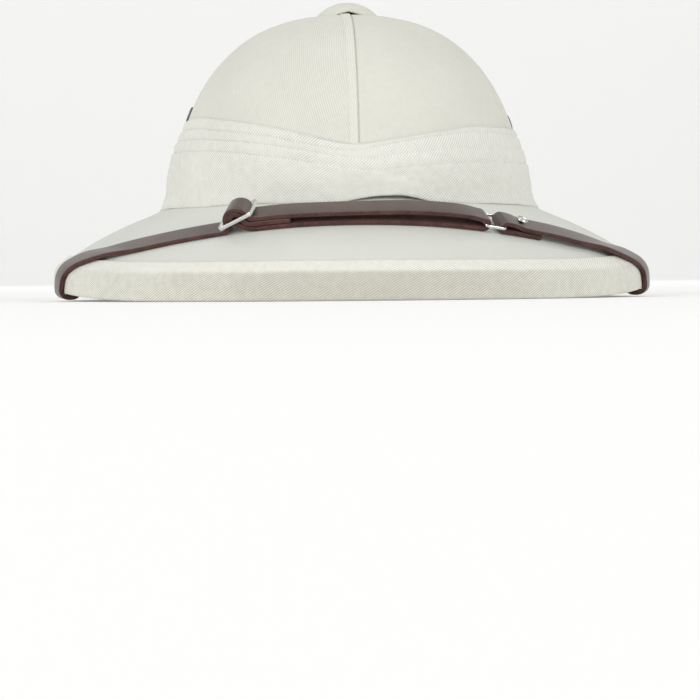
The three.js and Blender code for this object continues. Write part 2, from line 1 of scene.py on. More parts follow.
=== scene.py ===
# %% [markdown]
# # A pith helmet
#
# A pith helmet is a light shell of pressed pith with cotton twill glued over it. This lesson builds
# one round a fixed CAD frame: a domed crown, a sloping brim with a cloth-bound rim, a pleated band
# called a puggaree, a small covered vent on top, and a leather chin strap stowed over the brim.
#
# Everything is written in millimetres and scaled to metres only when a mesh is stored, because a
# hat maker's numbers read best in millimetres. `turn` is the angle round the head: 0 at the front,
# which faces -Y, and growing towards +X.

# %% Load the frame
import json
import math

import bmesh
import bpy
import numpy as np
from mathutils import Matrix, Vector

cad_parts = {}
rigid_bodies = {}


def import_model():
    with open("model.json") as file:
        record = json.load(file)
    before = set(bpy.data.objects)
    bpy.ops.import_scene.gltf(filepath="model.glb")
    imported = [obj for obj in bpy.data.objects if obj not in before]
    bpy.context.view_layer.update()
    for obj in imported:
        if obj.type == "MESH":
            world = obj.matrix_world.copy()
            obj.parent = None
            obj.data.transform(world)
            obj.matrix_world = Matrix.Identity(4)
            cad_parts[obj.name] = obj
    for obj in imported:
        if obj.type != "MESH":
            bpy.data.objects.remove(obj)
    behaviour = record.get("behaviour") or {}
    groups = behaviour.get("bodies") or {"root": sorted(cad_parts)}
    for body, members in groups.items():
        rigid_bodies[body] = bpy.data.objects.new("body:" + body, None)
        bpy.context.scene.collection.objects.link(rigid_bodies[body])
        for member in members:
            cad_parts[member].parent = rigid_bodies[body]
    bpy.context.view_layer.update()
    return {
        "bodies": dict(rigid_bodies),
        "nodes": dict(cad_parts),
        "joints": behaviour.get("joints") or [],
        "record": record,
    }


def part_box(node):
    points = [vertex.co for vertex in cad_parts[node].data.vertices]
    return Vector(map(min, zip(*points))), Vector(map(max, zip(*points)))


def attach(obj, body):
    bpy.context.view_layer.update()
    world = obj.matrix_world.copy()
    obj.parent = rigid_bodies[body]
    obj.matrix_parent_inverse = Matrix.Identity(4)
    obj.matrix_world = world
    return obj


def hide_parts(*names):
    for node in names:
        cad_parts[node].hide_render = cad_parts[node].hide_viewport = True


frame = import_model()
MM = 0.001

# %% [markdown]
# ## Measures
#
# The frame gives the sizes. Its round pieces are faceted, so a circle there is a little smaller
# between its corners than the smooth one drawn here. `FACET` puts that back.

# %% Sizes from the frame
RINGS = 52
FACET = 1 / math.cos(math.pi / RINGS)
GAP = 0.3


def box_mm(node):
    low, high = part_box(node)
    return low / MM, high / MM


crown_low, crown_high = box_mm("crown")
brim_low, brim_high = box_mm("brim")
MIDDLE_Y = (crown_low.y + crown_high.y) / 2

HALF_WIDTH = FACET * crown_high.x
HALF_LENGTH = FACET * (crown_high.y - MIDDLE_Y)
FOOT = crown_low.z - GAP
DOME = crown_high.z - crown_low.z
WALL = 4
WIDTH_POWER = 2.6
HEIGHT_POWER = 2.05

BRIM_HALF_WIDTH = FACET * brim_high.x
BRIM_FRONT = FACET * (MIDDLE_Y - brim_low.y)
BRIM_BACK = FACET * (brim_high.y - MIDDLE_Y)
print(f"crown {2 * HALF_WIDTH:.1f} wide, {2 * HALF_LENGTH:.1f} long, {DOME:.1f} high")
print(f"brim {2 * BRIM_HALF_WIDTH:.1f} wide, {BRIM_FRONT + BRIM_BACK:.1f} long")

# %% [markdown]
# ## The camera and the stage
#
# The helmet rests on a pale floor that runs into a pale backdrop, so no horizon shows. The camera
# stands in front, a little to the left, just above the floor, with a long lens, which keeps the
# brim from looking larger than it is.

# %% Camera, floor and light
CAMERA = {"azimuth": -2.7, "distance": 1.4, "height": 0.010, "lens": 141.8, "roll": -0.5}
AIM_HEIGHT = -0.0262  # the camera aims under the floor's level, so the helmet stands high in its frame
CLIP_START = 0.01


def add_camera():
    data = bpy.data.cameras.new("camera")
    data.lens = CAMERA["lens"]
    data.sensor_width = 36
    data.clip_start = CLIP_START
    camera = bpy.data.objects.new("camera", data)
    bpy.context.scene.collection.objects.link(camera)
    azimuth = math.radians(CAMERA["azimuth"])
    stand = CAMERA["distance"]
    middle = Vector((0, MIDDLE_Y * MM, 0))
    camera.location = middle + Vector(
        (math.sin(azimuth) * stand, -math.cos(azimuth) * stand, CAMERA["height"])
    )
    aim = middle + Vector((0, 0, AIM_HEIGHT))
    look = (aim - camera.location).to_track_quat("-Z", "Y")
    roll = Matrix.Rotation(math.radians(CAMERA["roll"]), 3, "Z")
    camera.rotation_euler = (look.to_matrix() @ roll).to_euler()
    bpy.context.scene.camera = camera


PAPER_GLOW = 0.14  # the paper is lit from behind a little, as a light table is
FLOOR_HALF = 6
SWEEP_STEPS = 20
SWEEP_STEP = 0.14
BACK_WALL = 6


def add_floor():
    """A floor that curves up into a wall behind, made by extruding one edge of a plane."""
    bm = bmesh.new()
    bmesh.ops.create_grid(bm, x_segments=1, y_segments=1, size=FLOOR_HALF)
    back = [edge for edge in bm.edges if all(vert.co.y > 0 for vert in edge.verts)]
    for step in range(SWEEP_STEPS):
        made = bmesh.ops.extrude_edge_only(bm, edges=back)["geom"]
        angle = (step + 0.5) / SWEEP_STEPS * math.pi / 2
        move = Vector((0, math.cos(angle), math.sin(angle))) * SWEEP_STEP
        verts = [item for item in made if isinstance(item, bmesh.types.BMVert)]
        bmesh.ops.translate(bm, verts=verts, vec=move)
        back = [item for item in made if isinstance(item, bmesh.types.BMEdge)]
        back = [edge for edge in back if all(vert in verts for vert in edge.verts)]
    made = bmesh.ops.extrude_edge_only(bm, edges=back)["geom"]
    verts = [item for item in made if isinstance(item, bmesh.types.BMVert)]
    bmesh.ops.translate(bm, verts=verts, vec=(0, 0, BACK_WALL))
    mesh = bpy.data.meshes.new("floor")
    bm.to_mesh(mesh)
    bm.free()
    floor = bpy.data.objects.new("floor", mesh)
    bpy.context.scene.collection.objects.link(floor)
    for polygon in mesh.polygons:
        polygon.use_smooth = True
    paper = bpy.data.materials.new("backdrop paper")
    paper.use_nodes = True
    shader = paper.node_tree.nodes["Principled BSDF"]
    shader.inputs["Base Color"].default_value = (0.9, 0.9, 0.89, 1)
    shader.inputs["Roughness"].default_value = 0.95
    shader.inputs["Specular IOR Level"].default_value = 0.1
    shader.inputs["Emission Color"].default_value = (1, 1, 1, 1)
    shader.inputs["Emission Strength"].default_value = PAPER_GLOW
    mesh.materials.append(paper)


LIGHTS = [
    {"name": "left_softbox", "place": (-1.9, -1.9, 1.2), "size": 1.5, "power": 30},
    {"name": "right_softbox", "place": (1.9, -1.9, 1.2), "size": 1.5, "power": 25},
    {"name": "top", "place": (0, -0.4, 2.4), "size": 1.8, "power": 6},
    {"name": "backdrop_left", "place": (-2.6, 2.0, 3.2), "size": 1.6, "power": 66},
    {"name": "backdrop_right", "place": (2.6, 2.0, 3.2), "size": 1.6, "power": 66},
]
LIGHT_AIM = Vector((0, 0, 0.07))
BACKDROP_AIM = Vector((0, 6, 1))
WORLD_STRENGTH = 0.42


def add_lights():
    for row in LIGHTS:
        data = bpy.data.lights.new(row["name"], "AREA")
        data.energy = row["power"]
        data.size = row["size"]
        lamp = bpy.data.objects.new(row["name"], data)
        lamp.location = row["place"]
        aim = BACKDROP_AIM if row["name"].startswith("backdrop") else LIGHT_AIM
        lamp.rotation_euler = (aim - lamp.location).to_track_quat("-Z", "Y").to_euler()
        bpy.context.scene.collection.objects.link(lamp)
    world = bpy.data.worlds.new("studio")
    world.use_nodes = True
    background = world.node_tree.nodes["Background"]
    background.inputs["Color"].default_value = (1, 1, 1, 1)
    background.inputs["Strength"].default_value = WORLD_STRENGTH
    bpy.context.scene.world = world
    bpy.context.scene.view_settings.view_transform = "Standard"


add_camera()
add_floor()
add_lights()

# %% [markdown]
# ## Materials
#
# Cotton twill has diagonal ribs. Here the ribs are a wave along the cloth's own U direction, so a
# piece turns its ribs by turning its UV map, as a tailor turns the cloth. A finer wave across them
# breaks each rib into threads. The same height drives a bump and a slight darkening between ribs.
# A piece can also give each vertex a `tone`, which paints its cloth paler or darker: paler along a seam's
# lap, painted light on the tape's upturned top, and painted shade in a crease and on the tape's front.

# %% Material helpers
def new_material(name):
    material = bpy.data.materials.new(name)
    material.use_nodes = True
    return material, material.node_tree, material.node_tree.nodes["Principled BSDF"]


def add_node(tree, kind, **settings):
    node = tree.nodes.new(kind)
    for key, value in settings.items():
        if key in node.inputs:
            node.inputs[key].default_value = value
        else:
            setattr(node, key, value)
    return node


def wave_scale(spacing):
    """The Wave texture's scale for bands that far apart, in metres."""
    return math.pi / 10 / spacing


def mix_colours(tree, factor, dark, light):
    mix = add_node(tree, "ShaderNodeMix", data_type="RGBA")
    mix.inputs[6].default_value = (*dark, 1)
    mix.inputs[7].default_value = (*light, 1)
    tree.links.new(factor, mix.inputs[0])
    return mix.outputs[2]


def math_node(tree, operation, first, second):
    node = add_node(tree, "ShaderNodeMath", operation=operation)
    for slot, value in zip(node.inputs, (first, second)):
        if isinstance(value, (int, float)):
            slot.default_value = value
        else:
            tree.links.new(value, slot)
    return node.outputs[0]


THREADS = {"turn": 62, "share": 0.3, "spacing": 0.62}  # degrees from the ribs, how much, how close
UNEVEN = 0.35


def twill(name, groove, rib, contrast=1.0, spacing=0.0009, depth=0.00012):
    """Cotton twill: ribs along the cloth's V direction, threads across them, soft mottling."""
    material, tree, shader = new_material(name)
    place = add_node(tree, "ShaderNodeTexCoord")
    wobble = add_node(tree, "ShaderNodeTexNoise", Scale=260.0, Detail=1.0)
    tree.links.new(place.outputs["UV"], wobble.inputs["Vector"])
    ribs = add_node(tree, "ShaderNodeTexWave", Scale=wave_scale(spacing), Distortion=0.0)
    tree.links.new(place.outputs["UV"], ribs.inputs["Vector"])
    turned = add_node(tree, "ShaderNodeMapping")
    turned.inputs["Rotation"].default_value[2] = math.radians(THREADS["turn"])
    tree.links.new(place.outputs["UV"], turned.inputs["Vector"])
    threads = add_node(tree, "ShaderNodeTexWave", Scale=wave_scale(spacing * THREADS["spacing"]))
    tree.links.new(turned.outputs["Vector"], threads.inputs["Vector"])
    thread_part = math_node(tree, "MULTIPLY", threads.outputs["Fac"], THREADS["share"])
    rib_part = math_node(tree, "MULTIPLY", ribs.outputs["Fac"], 1 - THREADS["share"])
    weave = math_node(tree, "ADD", rib_part, thread_part)
    uneven = math_node(tree, "MULTIPLY", wobble.outputs["Fac"], UNEVEN)
    weave = math_node(tree, "ADD", weave, uneven)
    mottle = add_node(tree, "ShaderNodeTexNoise", Scale=28.0, Detail=3.0)
    tree.links.new(place.outputs["Object"], mottle.inputs["Vector"])
    patches = math_node(tree, "MULTIPLY", mottle.outputs["Fac"], UNEVEN)
    shade = math_node(tree, "MULTIPLY", weave, contrast)
    shade = math_node(tree, "ADD", shade, patches)
    middle = 0.4 - 0.67 * contrast  # so that more contrast leaves the cloth as light as it was
    shade = math_node(tree, "ADD", shade, middle)
    # a piece's `tone` attribute adds its painted light and shade to the cloth
    tone = add_node(tree, "ShaderNodeAttribute", attribute_name="tone")
    shade = math_node(tree, "ADD", shade, tone.outputs["Fac"])
    tree.links.new(mix_colours(tree, shade, groove, rib), shader.inputs["Base Color"])
    bump = add_node(tree, "ShaderNodeBump", Strength=0.75, Distance=depth)
    tree.links.new(weave, bump.inputs["Height"])
    tree.links.new(bump.outputs["Normal"], shader.inputs["Normal"])
    shader.inputs["Roughness"].default_value = 0.92
    shader.inputs["Specular IOR Level"].default_value = 0.25
    shader.inputs["Sheen Weight"].default_value = 0.08
    shader.inputs["Sheen Roughness"].default_value = 0.5
    return material


def leather(name, dark, light, rough, pore, coat):
    """Strap leather: grain pores, a mottled dye and a thin wax coat."""
    material, tree, shader = new_material(name)
    place = add_node(tree, "ShaderNodeTexCoord")
    grain = add_node(tree, "ShaderNodeTexVoronoi", Scale=1 / pore)
    tree.links.new(place.outputs["Object"], grain.inputs["Vector"])
    fibre = add_node(tree, "ShaderNodeTexNoise", Scale=900.0, Detail=4.0)
    tree.links.new(place.outputs["Object"], fibre.inputs["Vector"])
    dye = add_node(tree, "ShaderNodeTexNoise", Scale=120.0, Detail=4.0)
    tree.links.new(place.outputs["Object"], dye.inputs["Vector"])
    tone = math_node(tree, "ADD", dye.outputs["Fac"], fibre.outputs["Fac"])
    tone = math_node(tree, "SUBTRACT", tone, 0.5)
    tree.links.new(mix_colours(tree, tone, dark, light), shader.inputs["Base Color"])
    height = math_node(tree, "ADD", grain.outputs["Distance"], fibre.outputs["Fac"])
    bump = add_node(tree, "ShaderNodeBump", Strength=0.5, Distance=0.00008)
    tree.links.new(height, bump.inputs["Height"])
    tree.links.new(bump.outputs["Normal"], shader.inputs["Normal"])
    shader.inputs["Roughness"].default_value = rough
    shader.inputs["Coat Weight"].default_value = coat
    shader.inputs["Coat Roughness"].default_value = 0.4
    return material


def metal(name, colour, rough):
    """Plated metal with a faint uneven polish."""
    material, tree, shader = new_material(name)
    place = add_node(tree, "ShaderNodeTexCoord")
    worn = add_node(tree, "ShaderNodeTexNoise", Scale=700.0, Detail=4.0)
    tree.links.new(place.outputs["Object"], worn.inputs["Vector"])
    darker = tuple(0.8 * part for part in colour)
    tree.links.new(mix_colours(tree, worn.outputs["Fac"], darker, colour), shader.inputs["Base Color"])
    bump = add_node(tree, "ShaderNodeBump", Strength=0.15, Distance=0.00003)
    tree.links.new(worn.outputs["Fac"], bump.inputs["Height"])
    tree.links.new(bump.outputs["Normal"], shader.inputs["Normal"])
    shader.inputs["Metallic"].default_value = 1
    shader.inputs["Roughness"].default_value = rough
    return material


# %% Materials
crown_twill = twill("crown twill", (0.60, 0.60, 0.53), (0.85, 0.84, 0.76), 0.62, spacing=0.00098)
brim_twill = twill("brim twill", (0.62, 0.64, 0.58), (0.78, 0.79, 0.73), 0.3, depth=0.00005)
band_twill = twill("puggaree twill", (0.59, 0.59, 0.53), (0.93, 0.93, 0.86), 1.0, spacing=0.0011)
tape_twill = twill("binding twill", (0.50, 0.49, 0.42), (0.94, 0.93, 0.85), 1.0, spacing=0.00098)
strap_grain = leather("strap grain", (0.070, 0.049, 0.038), (0.130, 0.092, 0.074), 0.36, 0.0006, 0.35)
strap_edge = leather("strap raw edge", (0.022, 0.008, 0.007), (0.150, 0.062, 0.052), 0.85, 0.0004, 0.0)
nickel = metal("nickel plate", (0.86, 0.86, 0.84), 0.22)
dark_nickel = metal("dull dark metal", (0.20, 0.20, 0.19), 0.5)

# %% [markdown]
# ## Shaping rings round the head
#
# Crown, brim, binding and band are all rings. Each starts as a wire of points spun about the axis,
# which gives an even tube. Every vertex then knows its row along the wire and its turn round the
# head, and both are used to place it. So the topology comes from the spin, and the shape from the
# hat maker's measures.

# %% Ring helpers
def spun_wire(rows, columns, loop=False):
    """A wire of `rows` points spun round the axis, and each vertex's turn and row."""
    bm = bmesh.new()
    tip = bmesh.ops.create_vert(bm, co=(0, -2, 0))["vert"]
    for _ in range(rows - 1):
        tip = bmesh.ops.extrude_vert_indiv(bm, verts=tip)["verts"]
        bmesh.ops.translate(bm, verts=tip, vec=(0, 0, 1))
    if loop:
        bm.verts.ensure_lookup_table()
        bmesh.ops.contextual_create(bm, geom=[bm.verts[0], bm.verts[rows - 1]])
    bmesh.ops.spin(
        bm, geom=bm.verts[:] + bm.edges[:], cent=(0, 0, 0), axis=(0, 0, 1),
        angle=2 * math.pi, steps=columns, use_merge=True,
    )
    return bm


def turns_and_rows(bm):
    places = np.array([vert.co for vert in bm.verts])
    return np.arctan2(places[:, 0], -places[:, 1]), np.rint(places[:, 2]).astype(int)


def move_verts(bm, places):
    for vert, place in zip(bm.verts, places.tolist()):
        vert.co = place


def store(bm, name, nodes, materials):
    """Scale to metres, face outwards, and hand the piece to the frame."""
    bmesh.ops.translate(bm, verts=bm.verts, vec=(0, MIDDLE_Y, 0))
    bmesh.ops.scale(bm, verts=bm.verts, vec=(MM, MM, MM))
    bmesh.ops.recalc_face_normals(bm, faces=bm.faces)
    for face in bm.faces:
        face.smooth = True
    mesh = bpy.data.meshes.new(name)
    bm.to_mesh(mesh)
    bm.free()
    piece = bpy.data.objects.new(name, mesh)
    bpy.context.scene.collection.objects.link(piece)
    for material in materials:
        mesh.materials.append(material)
    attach(piece, "root")
    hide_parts(*nodes)
    mesh.calc_loop_triangles()
    size = [round(side / MM, 1) for side in piece.dimensions]
    print(f"{name}: {len(mesh.loop_triangles)} triangles, {size} mm")
    return piece


def close_poles(bm, rows):
    """Gathers a spun wire's first and last row in one vertex each."""
    for row in (0, rows - 1):
        pole = [vert for vert in bm.verts if round(vert.co.z) == row]
        bmesh.ops.pointmerge(bm, verts=pole, merge_co=(0, 0, row))


def corner_verts(mesh):
    """The vertex number at every corner of every face."""
    corner = np.zeros(len(mesh.loops), np.int32)
    mesh.loops.foreach_get("vertex_index", corner)
    return corner


def store_cloth(mesh, u, v):
    """A UV map in metres from the cloth's two directions in millimetres."""
    layer = mesh.uv_layers.new(name="cloth")
    layer.data.foreach_set("uv", (np.stack([u, v], 1) * MM).ravel().astype(np.float32))


def lay_cloth(piece, turn, row, cloth):
    """Lays a ring's cloth: cloth(turn, row, face_turn) gives its two directions in millimetres."""
    mesh = piece.data
    corner = corner_verts(mesh)
    first = np.zeros(len(mesh.polygons), np.int32)
    mesh.polygons.foreach_get("loop_start", first)
    sides = np.zeros(len(mesh.polygons), np.int32)
    mesh.polygons.foreach_get("loop_total", sides)
    face = np.repeat(np.arange(len(sides)), sides)
    around = turn[corner]
    start = around[first][face]
    around = around - 2 * np.pi * np.round((around - start) / (2 * np.pi))
    middle = (np.bincount(face, around) / sides)[face]
    store_cloth(mesh, *cloth(around, row[corner], middle))


def tint(piece, tone):
    """Stores how much lighter (or darker) than its cloth each vertex is painted, which the twill reads:
    painted light and shade, and a paler seam lap.
    """
    layer = piece.data.attributes.new("tone", "FLOAT", "POINT")
    layer.data.foreach_set("value", np.asarray(tone, np.float32))


def turned(u, v, lean):
    """Cloth directions turned so that its ribs lean that many degrees from upright, right side down."""
    angle = math.radians(lean)
    return u * math.cos(angle) + v * math.sin(angle), v * math.cos(angle) - u * math.sin(angle)


def ramp(value, start, end):
    """0 before start, 1 after end, smooth between."""
    f = np.clip((value - start) / (end - start), 0, 1)
    return f * f * (3 - 2 * f)


def hill(value, middle, width):
    return np.exp(-(((value - middle) / width) ** 2))


def round_the_head(table, turn):
    """Smooth interpolation round the head of a table of (degrees, value)."""
    knots = np.array([row[0] for row in table], float)
    values = np.array([row[1] for row in table], float)
    knots = np.concatenate([[knots[-1] - 360], knots, [knots[0] + 360, knots[1] + 360]])
    values = np.concatenate([[values[-1]], values, [values[0], values[1]]])
    degrees = (np.degrees(turn) - knots[1]) % 360 + knots[1]
    i = np.clip(np.searchsorted(knots, degrees, side="right") - 1, 1, len(knots) - 3)
    span = knots[i + 1] - knots[i]
    slope_from = (values[i + 1] - values[i - 1]) / (knots[i + 1] - knots[i - 1]) * span
    slope_to = (values[i + 2] - values[i]) / (knots[i + 2] - knots[i]) * span
    f = (degrees - knots[i]) / span
    return (
        (2 * f**3 - 3 * f**2 + 1) * values[i] + (f**3 - 2 * f**2 + f) * slope_from
        + (3 * f**2 - 2 * f**3) * values[i + 1] + (f**3 - f**2) * slope_to
    )


def ellipse_arc(half_width, half_length):
    """Length along an ellipse round the head from the front, for an array of turns."""
    steps = np.linspace(-1.5 * np.pi, 1.5 * np.pi, 1501)
    speed = np.hypot(half_width * np.cos(steps), half_length * np.sin(steps))
    length = np.concatenate([[0], np.cumsum((speed[1:] + speed[:-1]) / 2 * np.diff(steps))])
    length -= np.interp(0, steps, length)
    return lambda turn: np.interp(turn, steps, length)


def around_crown(turn, height, out):
    """A point `out` beyond the crown's wall at a height."""
    h = np.clip((height - FOOT) / DOME, 0, 1)
    share = (1 - h**HEIGHT_POWER) ** (1 / WIDTH_POWER)
    return np.stack([
        (HALF_WIDTH * share + out) * np.sin(turn),
        -(HALF_LENGTH * share + out) * np.cos(turn),
        height + 0 * turn,
    ], -1)


crown_arc = ellipse_arc(HALF_WIDTH, HALF_LENGTH)

# Heights of the band's upper edge and of its lowest fold, in degrees round the head.
BAND_TOP = [
    (-180, 86.5), (-130, 88.5), (-90, 89.6), (-66, 89.4), (-44, 85.9), (-26, 81.2), (-12, 76.5),
    (0, 73.4), (13, 76.2), (26, 79.2), (42, 82.5), (62, 83.8), (90, 83.5), (130, 84.5),
]
BAND_LOW_FOLD = [
    (-180, 69), (-130, 71.5), (-90, 73), (-66, 72.8), (-44, 70.6), (-26, 67.2), (-12, 63.4),
    (0, 60.6), (13, 61.6), (26, 63.2), (42, 65), (62, 66), (90, 66.4), (130, 67.2),
]

# %% [markdown]
# ## The crown
#
# A real crown is pith board pressed in a mould, then covered in four gores of twill. Three seams
# lie flat. The front one is lapped: the left gore's edge is folded under, laid over the right one
# and stitched down. The seams bend the ribs of the cloth too, because each gore is cut flat, so
# its ribs run straight on its own middle line and lean more and more towards its edges.
#
# The columns are gathered at the four seams, where the small steps are.

# %% Crown
COLUMNS = 384
DOME_ROWS = 92
INSIDE_ROWS = 26
SEAM_GATHER = 0.8
# LAP's light paints the lap paler, and its dark is a line of painted shade along the lap's folded edge
LAP = {"width": 4.1, "lift": 0.7, "stitch": 3.3, "pitch": 2.6, "light": 0.14, "dark": 0.4}
EYELET = {"flange": 4.3, "thick": 0.9, "barrel": 3, "bore": 2.2}
EYELET_HEIGHTS = {"left": 93.3, "right": 88.4}
CROWN_RIBS = 27  # degrees that the cloth's ribs lean at the middle of a gore
MEAN_RADIUS = 97
CAP_COVERS = 13  # the crown is left plain where the vent cap hides it


def dome_angles():
    outside = np.linspace(math.pi / 2, 0, DOME_ROWS)
    inside = np.linspace(0, math.pi / 2, INSIDE_ROWS)
    return np.concatenate([outside, inside]), np.repeat([0, WALL], [DOME_ROWS, INSIDE_ROWS])


def seam_relief(across, along, height, top_edge):
    """Height of the cloth's lap and stitches, `across` in mm from the front seam."""
    lap = ramp(across, -LAP["width"] - 0.7, -LAP["width"] + 0.2) * (1 - ramp(across, -0.16, 0.14))
    relief = LAP["lift"] * lap - 0.34 * hill(across, 0.34, 0.3)
    stitch = 0.5 + 0.5 * np.cos(2 * np.pi * along / LAP["pitch"])
    relief -= (0.08 + 0.26 * stitch) * hill(across, -LAP["stitch"], 0.38)
    return relief * ramp(height, top_edge - 3, top_edge)


def seam_pale_lap_and_painted_shade(across):
    """The lap is painted paler, and painted shade runs in a line along its folded edge."""
    lap = ramp(across, -LAP["width"] - 0.5, -LAP["width"] + 0.3) * (1 - ramp(across, -0.7, -0.1))
    return LAP["light"] * lap - LAP["dark"] * hill(across, 0.4, 0.45)


def eyelet_frame(side):
    """The place of a side's vent, with +Z pointing out of the crown."""
    sign = -1 if side == "left" else 1
    height = EYELET_HEIGHTS[side]
    turn = np.array(sign * math.pi / 2)
    low, middle, high = (around_crown(turn, height + step, 0) for step in (-0.5, 0, 0.5))
    normal = Vector((sign, 0, abs(low[0]) - abs(high[0]))).normalized()
    matrix = normal.to_track_quat("Z", "Y").to_matrix().to_4x4()
    matrix.translation = Vector(middle) + normal * 0.1
    return matrix


def drill(bm, side):
    """Opens a round hole through both skins of the crown and joins the two rims."""
    into = eyelet_frame(side).inverted()
    radius = EYELET["barrel"] + 0.35
    gone = []
    for face in bm.faces:
        place = into @ face.calc_center_median()
        if place.z > -9 and place.xy.length < radius:
            gone.append(face)
    bmesh.ops.delete(bm, geom=gone, context="FACES")
    rims = [edge for edge in bm.edges if edge.is_boundary]
    bmesh.ops.bridge_loops(bm, edges=rims)
    return len(gone)


def build_crown():
    bm = spun_wire(DOME_ROWS + INSIDE_ROWS, COLUMNS)
    close_poles(bm, DOME_ROWS + INSIDE_ROWS)
    turn, row = turns_and_rows(bm)
    turn = turn - SEAM_GATHER / 4 * np.sin(4 * turn)
    angles, insets = dome_angles()
    angle, inset = angles[row], insets[row]
    share = np.clip(np.cos(angle), 0, 1) ** (2 / WIDTH_POWER)
    share[np.isin(row, (0, len(angles) - 1))] = 0
    rise = np.sin(angle) ** (2 / HEIGHT_POWER)
    wide, long, high = HALF_WIDTH - inset, HALF_LENGTH - inset, DOME - inset
    places = np.stack([
        wide * share * np.sin(turn), -long * share * np.cos(turn), FOOT + GAP + high * rise,
    ], 1)
    normal = np.stack([
        WIDTH_POWER * share ** (WIDTH_POWER - 1) * np.sin(turn) / wide,
        -WIDTH_POWER * share ** (WIDTH_POWER - 1) * np.cos(turn) / long,
        HEIGHT_POWER * rise ** (HEIGHT_POWER - 1) / high,
    ], 1)
    normal /= np.linalg.norm(normal, axis=1)[:, None]
    length = np.zeros(len(angles))
    line_out, line_up = np.cos(angles) ** (2 / WIDTH_POWER), np.sin(angles) ** (2 / HEIGHT_POWER)
    line = np.stack([line_out * MEAN_RADIUS, line_up * DOME], 1)
    length[1:] = np.cumsum(np.linalg.norm(np.diff(line, axis=0), axis=1))
    top_edge = round_the_head(BAND_TOP, turn)
    from_seam = crown_arc(turn) * share
    relief = seam_relief(from_seam, length[row], places[:, 2], top_edge)
    # the lap painted paler and the painted shade along its fold, on the outside skin only
    tone = seam_pale_lap_and_painted_shade(from_seam) * (inset == 0)
    for seam in (-0.5, 0.5, 1):
        away = (turn - seam * math.pi + math.pi) % (2 * math.pi) - math.pi
        across = away * share * MEAN_RADIUS
        seam_step = 0.1 * hill(abs(across), 1.3, 0.7) - 0.3 * hill(across, 0, 0.45)
        relief += seam_step * (places[:, 2] > top_edge)
    outside = (inset == 0) & (share * HALF_WIDTH > CAP_COVERS)
    soft = 0.1 * np.sin(5 * turn + 1.3) * np.sin(angle * 7) + 0.08 * np.sin(11 * turn) * np.cos(angle * 9)
    places += normal * ((relief + soft) * outside)[:, None]
    move_verts(bm, places)
    order = bm.verts.layers.int.new("order")  # drilling renumbers the vertices, so each keeps its number
    for number, vert in enumerate(bm.verts):
        vert[order] = number
    print("faces drilled out:", drill(bm, "left"), drill(bm, "right"))
    kept = [vert[order] for vert in bm.verts]
    bm.verts.layers.int.remove(order)
    piece = store(bm, "crown_shell", ["crown"], [crown_twill])
    tint(piece, tone[kept])
    turn, row = turn[kept], row[kept]

    def cloth(around, row, middle):
        gore = (np.floor(middle / (math.pi / 2)) + 0.5) * math.pi / 2
        here = np.cos(angles[row]) ** (2 / WIDTH_POWER) * (crown_arc(around) - crown_arc(gore))
        return turned(here, -length[row], CROWN_RIBS)

    lay_cloth(piece, turn, row, cloth)


build_crown()

# %% [markdown]
# ## The brim
#
# The brim is the same pith board, pressed into a slope that steepens near the rim and turns down
# into a short lip. It is tightly covered, so its weave hardly shows. Its cloth is laid flat over
# it, so its pattern follows a plan view.

# %% Brim line
BEND = 0.945
STRAIGHT = 0.72
LIP = 9.5
CLOTH = 1
RIM_LIFT, LIFT_POWER = 5.5, 8
CORNER_STEPS = 12


def over_brim(turn, out, height):
    """A point `out` from the crown's foot towards the rim."""
    reach = np.where(np.cos(turn) > 0, BRIM_FRONT, BRIM_BACK)
    foot = np.stack([HALF_WIDTH * np.sin(turn), -HALF_LENGTH * np.cos(turn)], -1)
    rim = np.stack([BRIM_HALF_WIDTH * np.sin(turn), -reach * np.cos(turn)], -1)
    share = out / np.linalg.norm(rim - foot, axis=-1)
    place = foot + (rim - foot) * share[..., None]
    return np.concatenate([place, (height + 0 * share)[..., None]], -1)


def brim_width(turn):
    reach = np.where(np.cos(turn) > 0, BRIM_FRONT, BRIM_BACK)
    return np.hypot((BRIM_HALF_WIDTH - HALF_WIDTH) * np.sin(turn), (reach - HALF_LENGTH) * np.cos(turn))


def brim_line(turn, flat, lip_steps=1):
    """The brim's outer line for an array of turns: arrays of outward and height, row by row."""
    wide = brim_width(turn)
    bottom = RIM_LIFT * np.abs(np.sin(turn)) ** LIFT_POWER + GAP + CLOTH
    corner = bottom + LIP
    fall = FOOT - corner
    slope = [(u * wide, FOOT - fall * (STRAIGHT * u + (1 - STRAIGHT) * u**3)) for u in flat]
    start = (BEND * wide, FOOT - fall * (STRAIGHT * BEND + (1 - STRAIGHT) * BEND**3))
    end = corner - np.hypot(wide - start[0], start[1] - corner)
    bend = []
    for b in np.linspace(0, 1, CORNER_STEPS + 1):
        weights = (1 - b) ** 2, 2 * b * (1 - b), b**2
        bend.append((
            weights[0] * start[0] + (weights[1] + weights[2]) * wide,
            weights[0] * start[1] + weights[1] * corner + weights[2] * end,
        ))
    lip = [(wide, end + (bottom - end) * k / lip_steps) for k in range(1, lip_steps + 1)]
    line = np.array(slope + bend + lip)
    return line[:, 0], line[:, 1]


def offset_line(out, height, by):
    """The line moved sideways by `by`, which may differ from row to row."""
    along = np.gradient(out, axis=0), np.gradient(height, axis=0)
    size = np.hypot(*along)
    by = np.reshape(by, (-1, 1)) if np.ndim(by) else by
    return out - along[1] / size * by, height + along[0] / size * by


def ring_piece(bm, turn, row, lines):
    """Places every vertex of a ring from the rows' lines, given for every column's turn."""
    columns, which = np.unique(np.round(turn, 9), return_inverse=True)
    out, height = lines(columns)
    move_verts(bm, over_brim(turn, out[row, which], height[row, which]))
    steps = np.hypot(np.diff(out, axis=0), np.diff(height, axis=0))
    return np.concatenate([np.zeros((1, len(columns))), np.cumsum(steps, axis=0)]).mean(1)


rim_arc = ellipse_arc(BRIM_HALF_WIDTH, (BRIM_FRONT + BRIM_BACK) / 2)
print(f"the rim is {2 * rim_arc(np.pi):.0f} mm round")

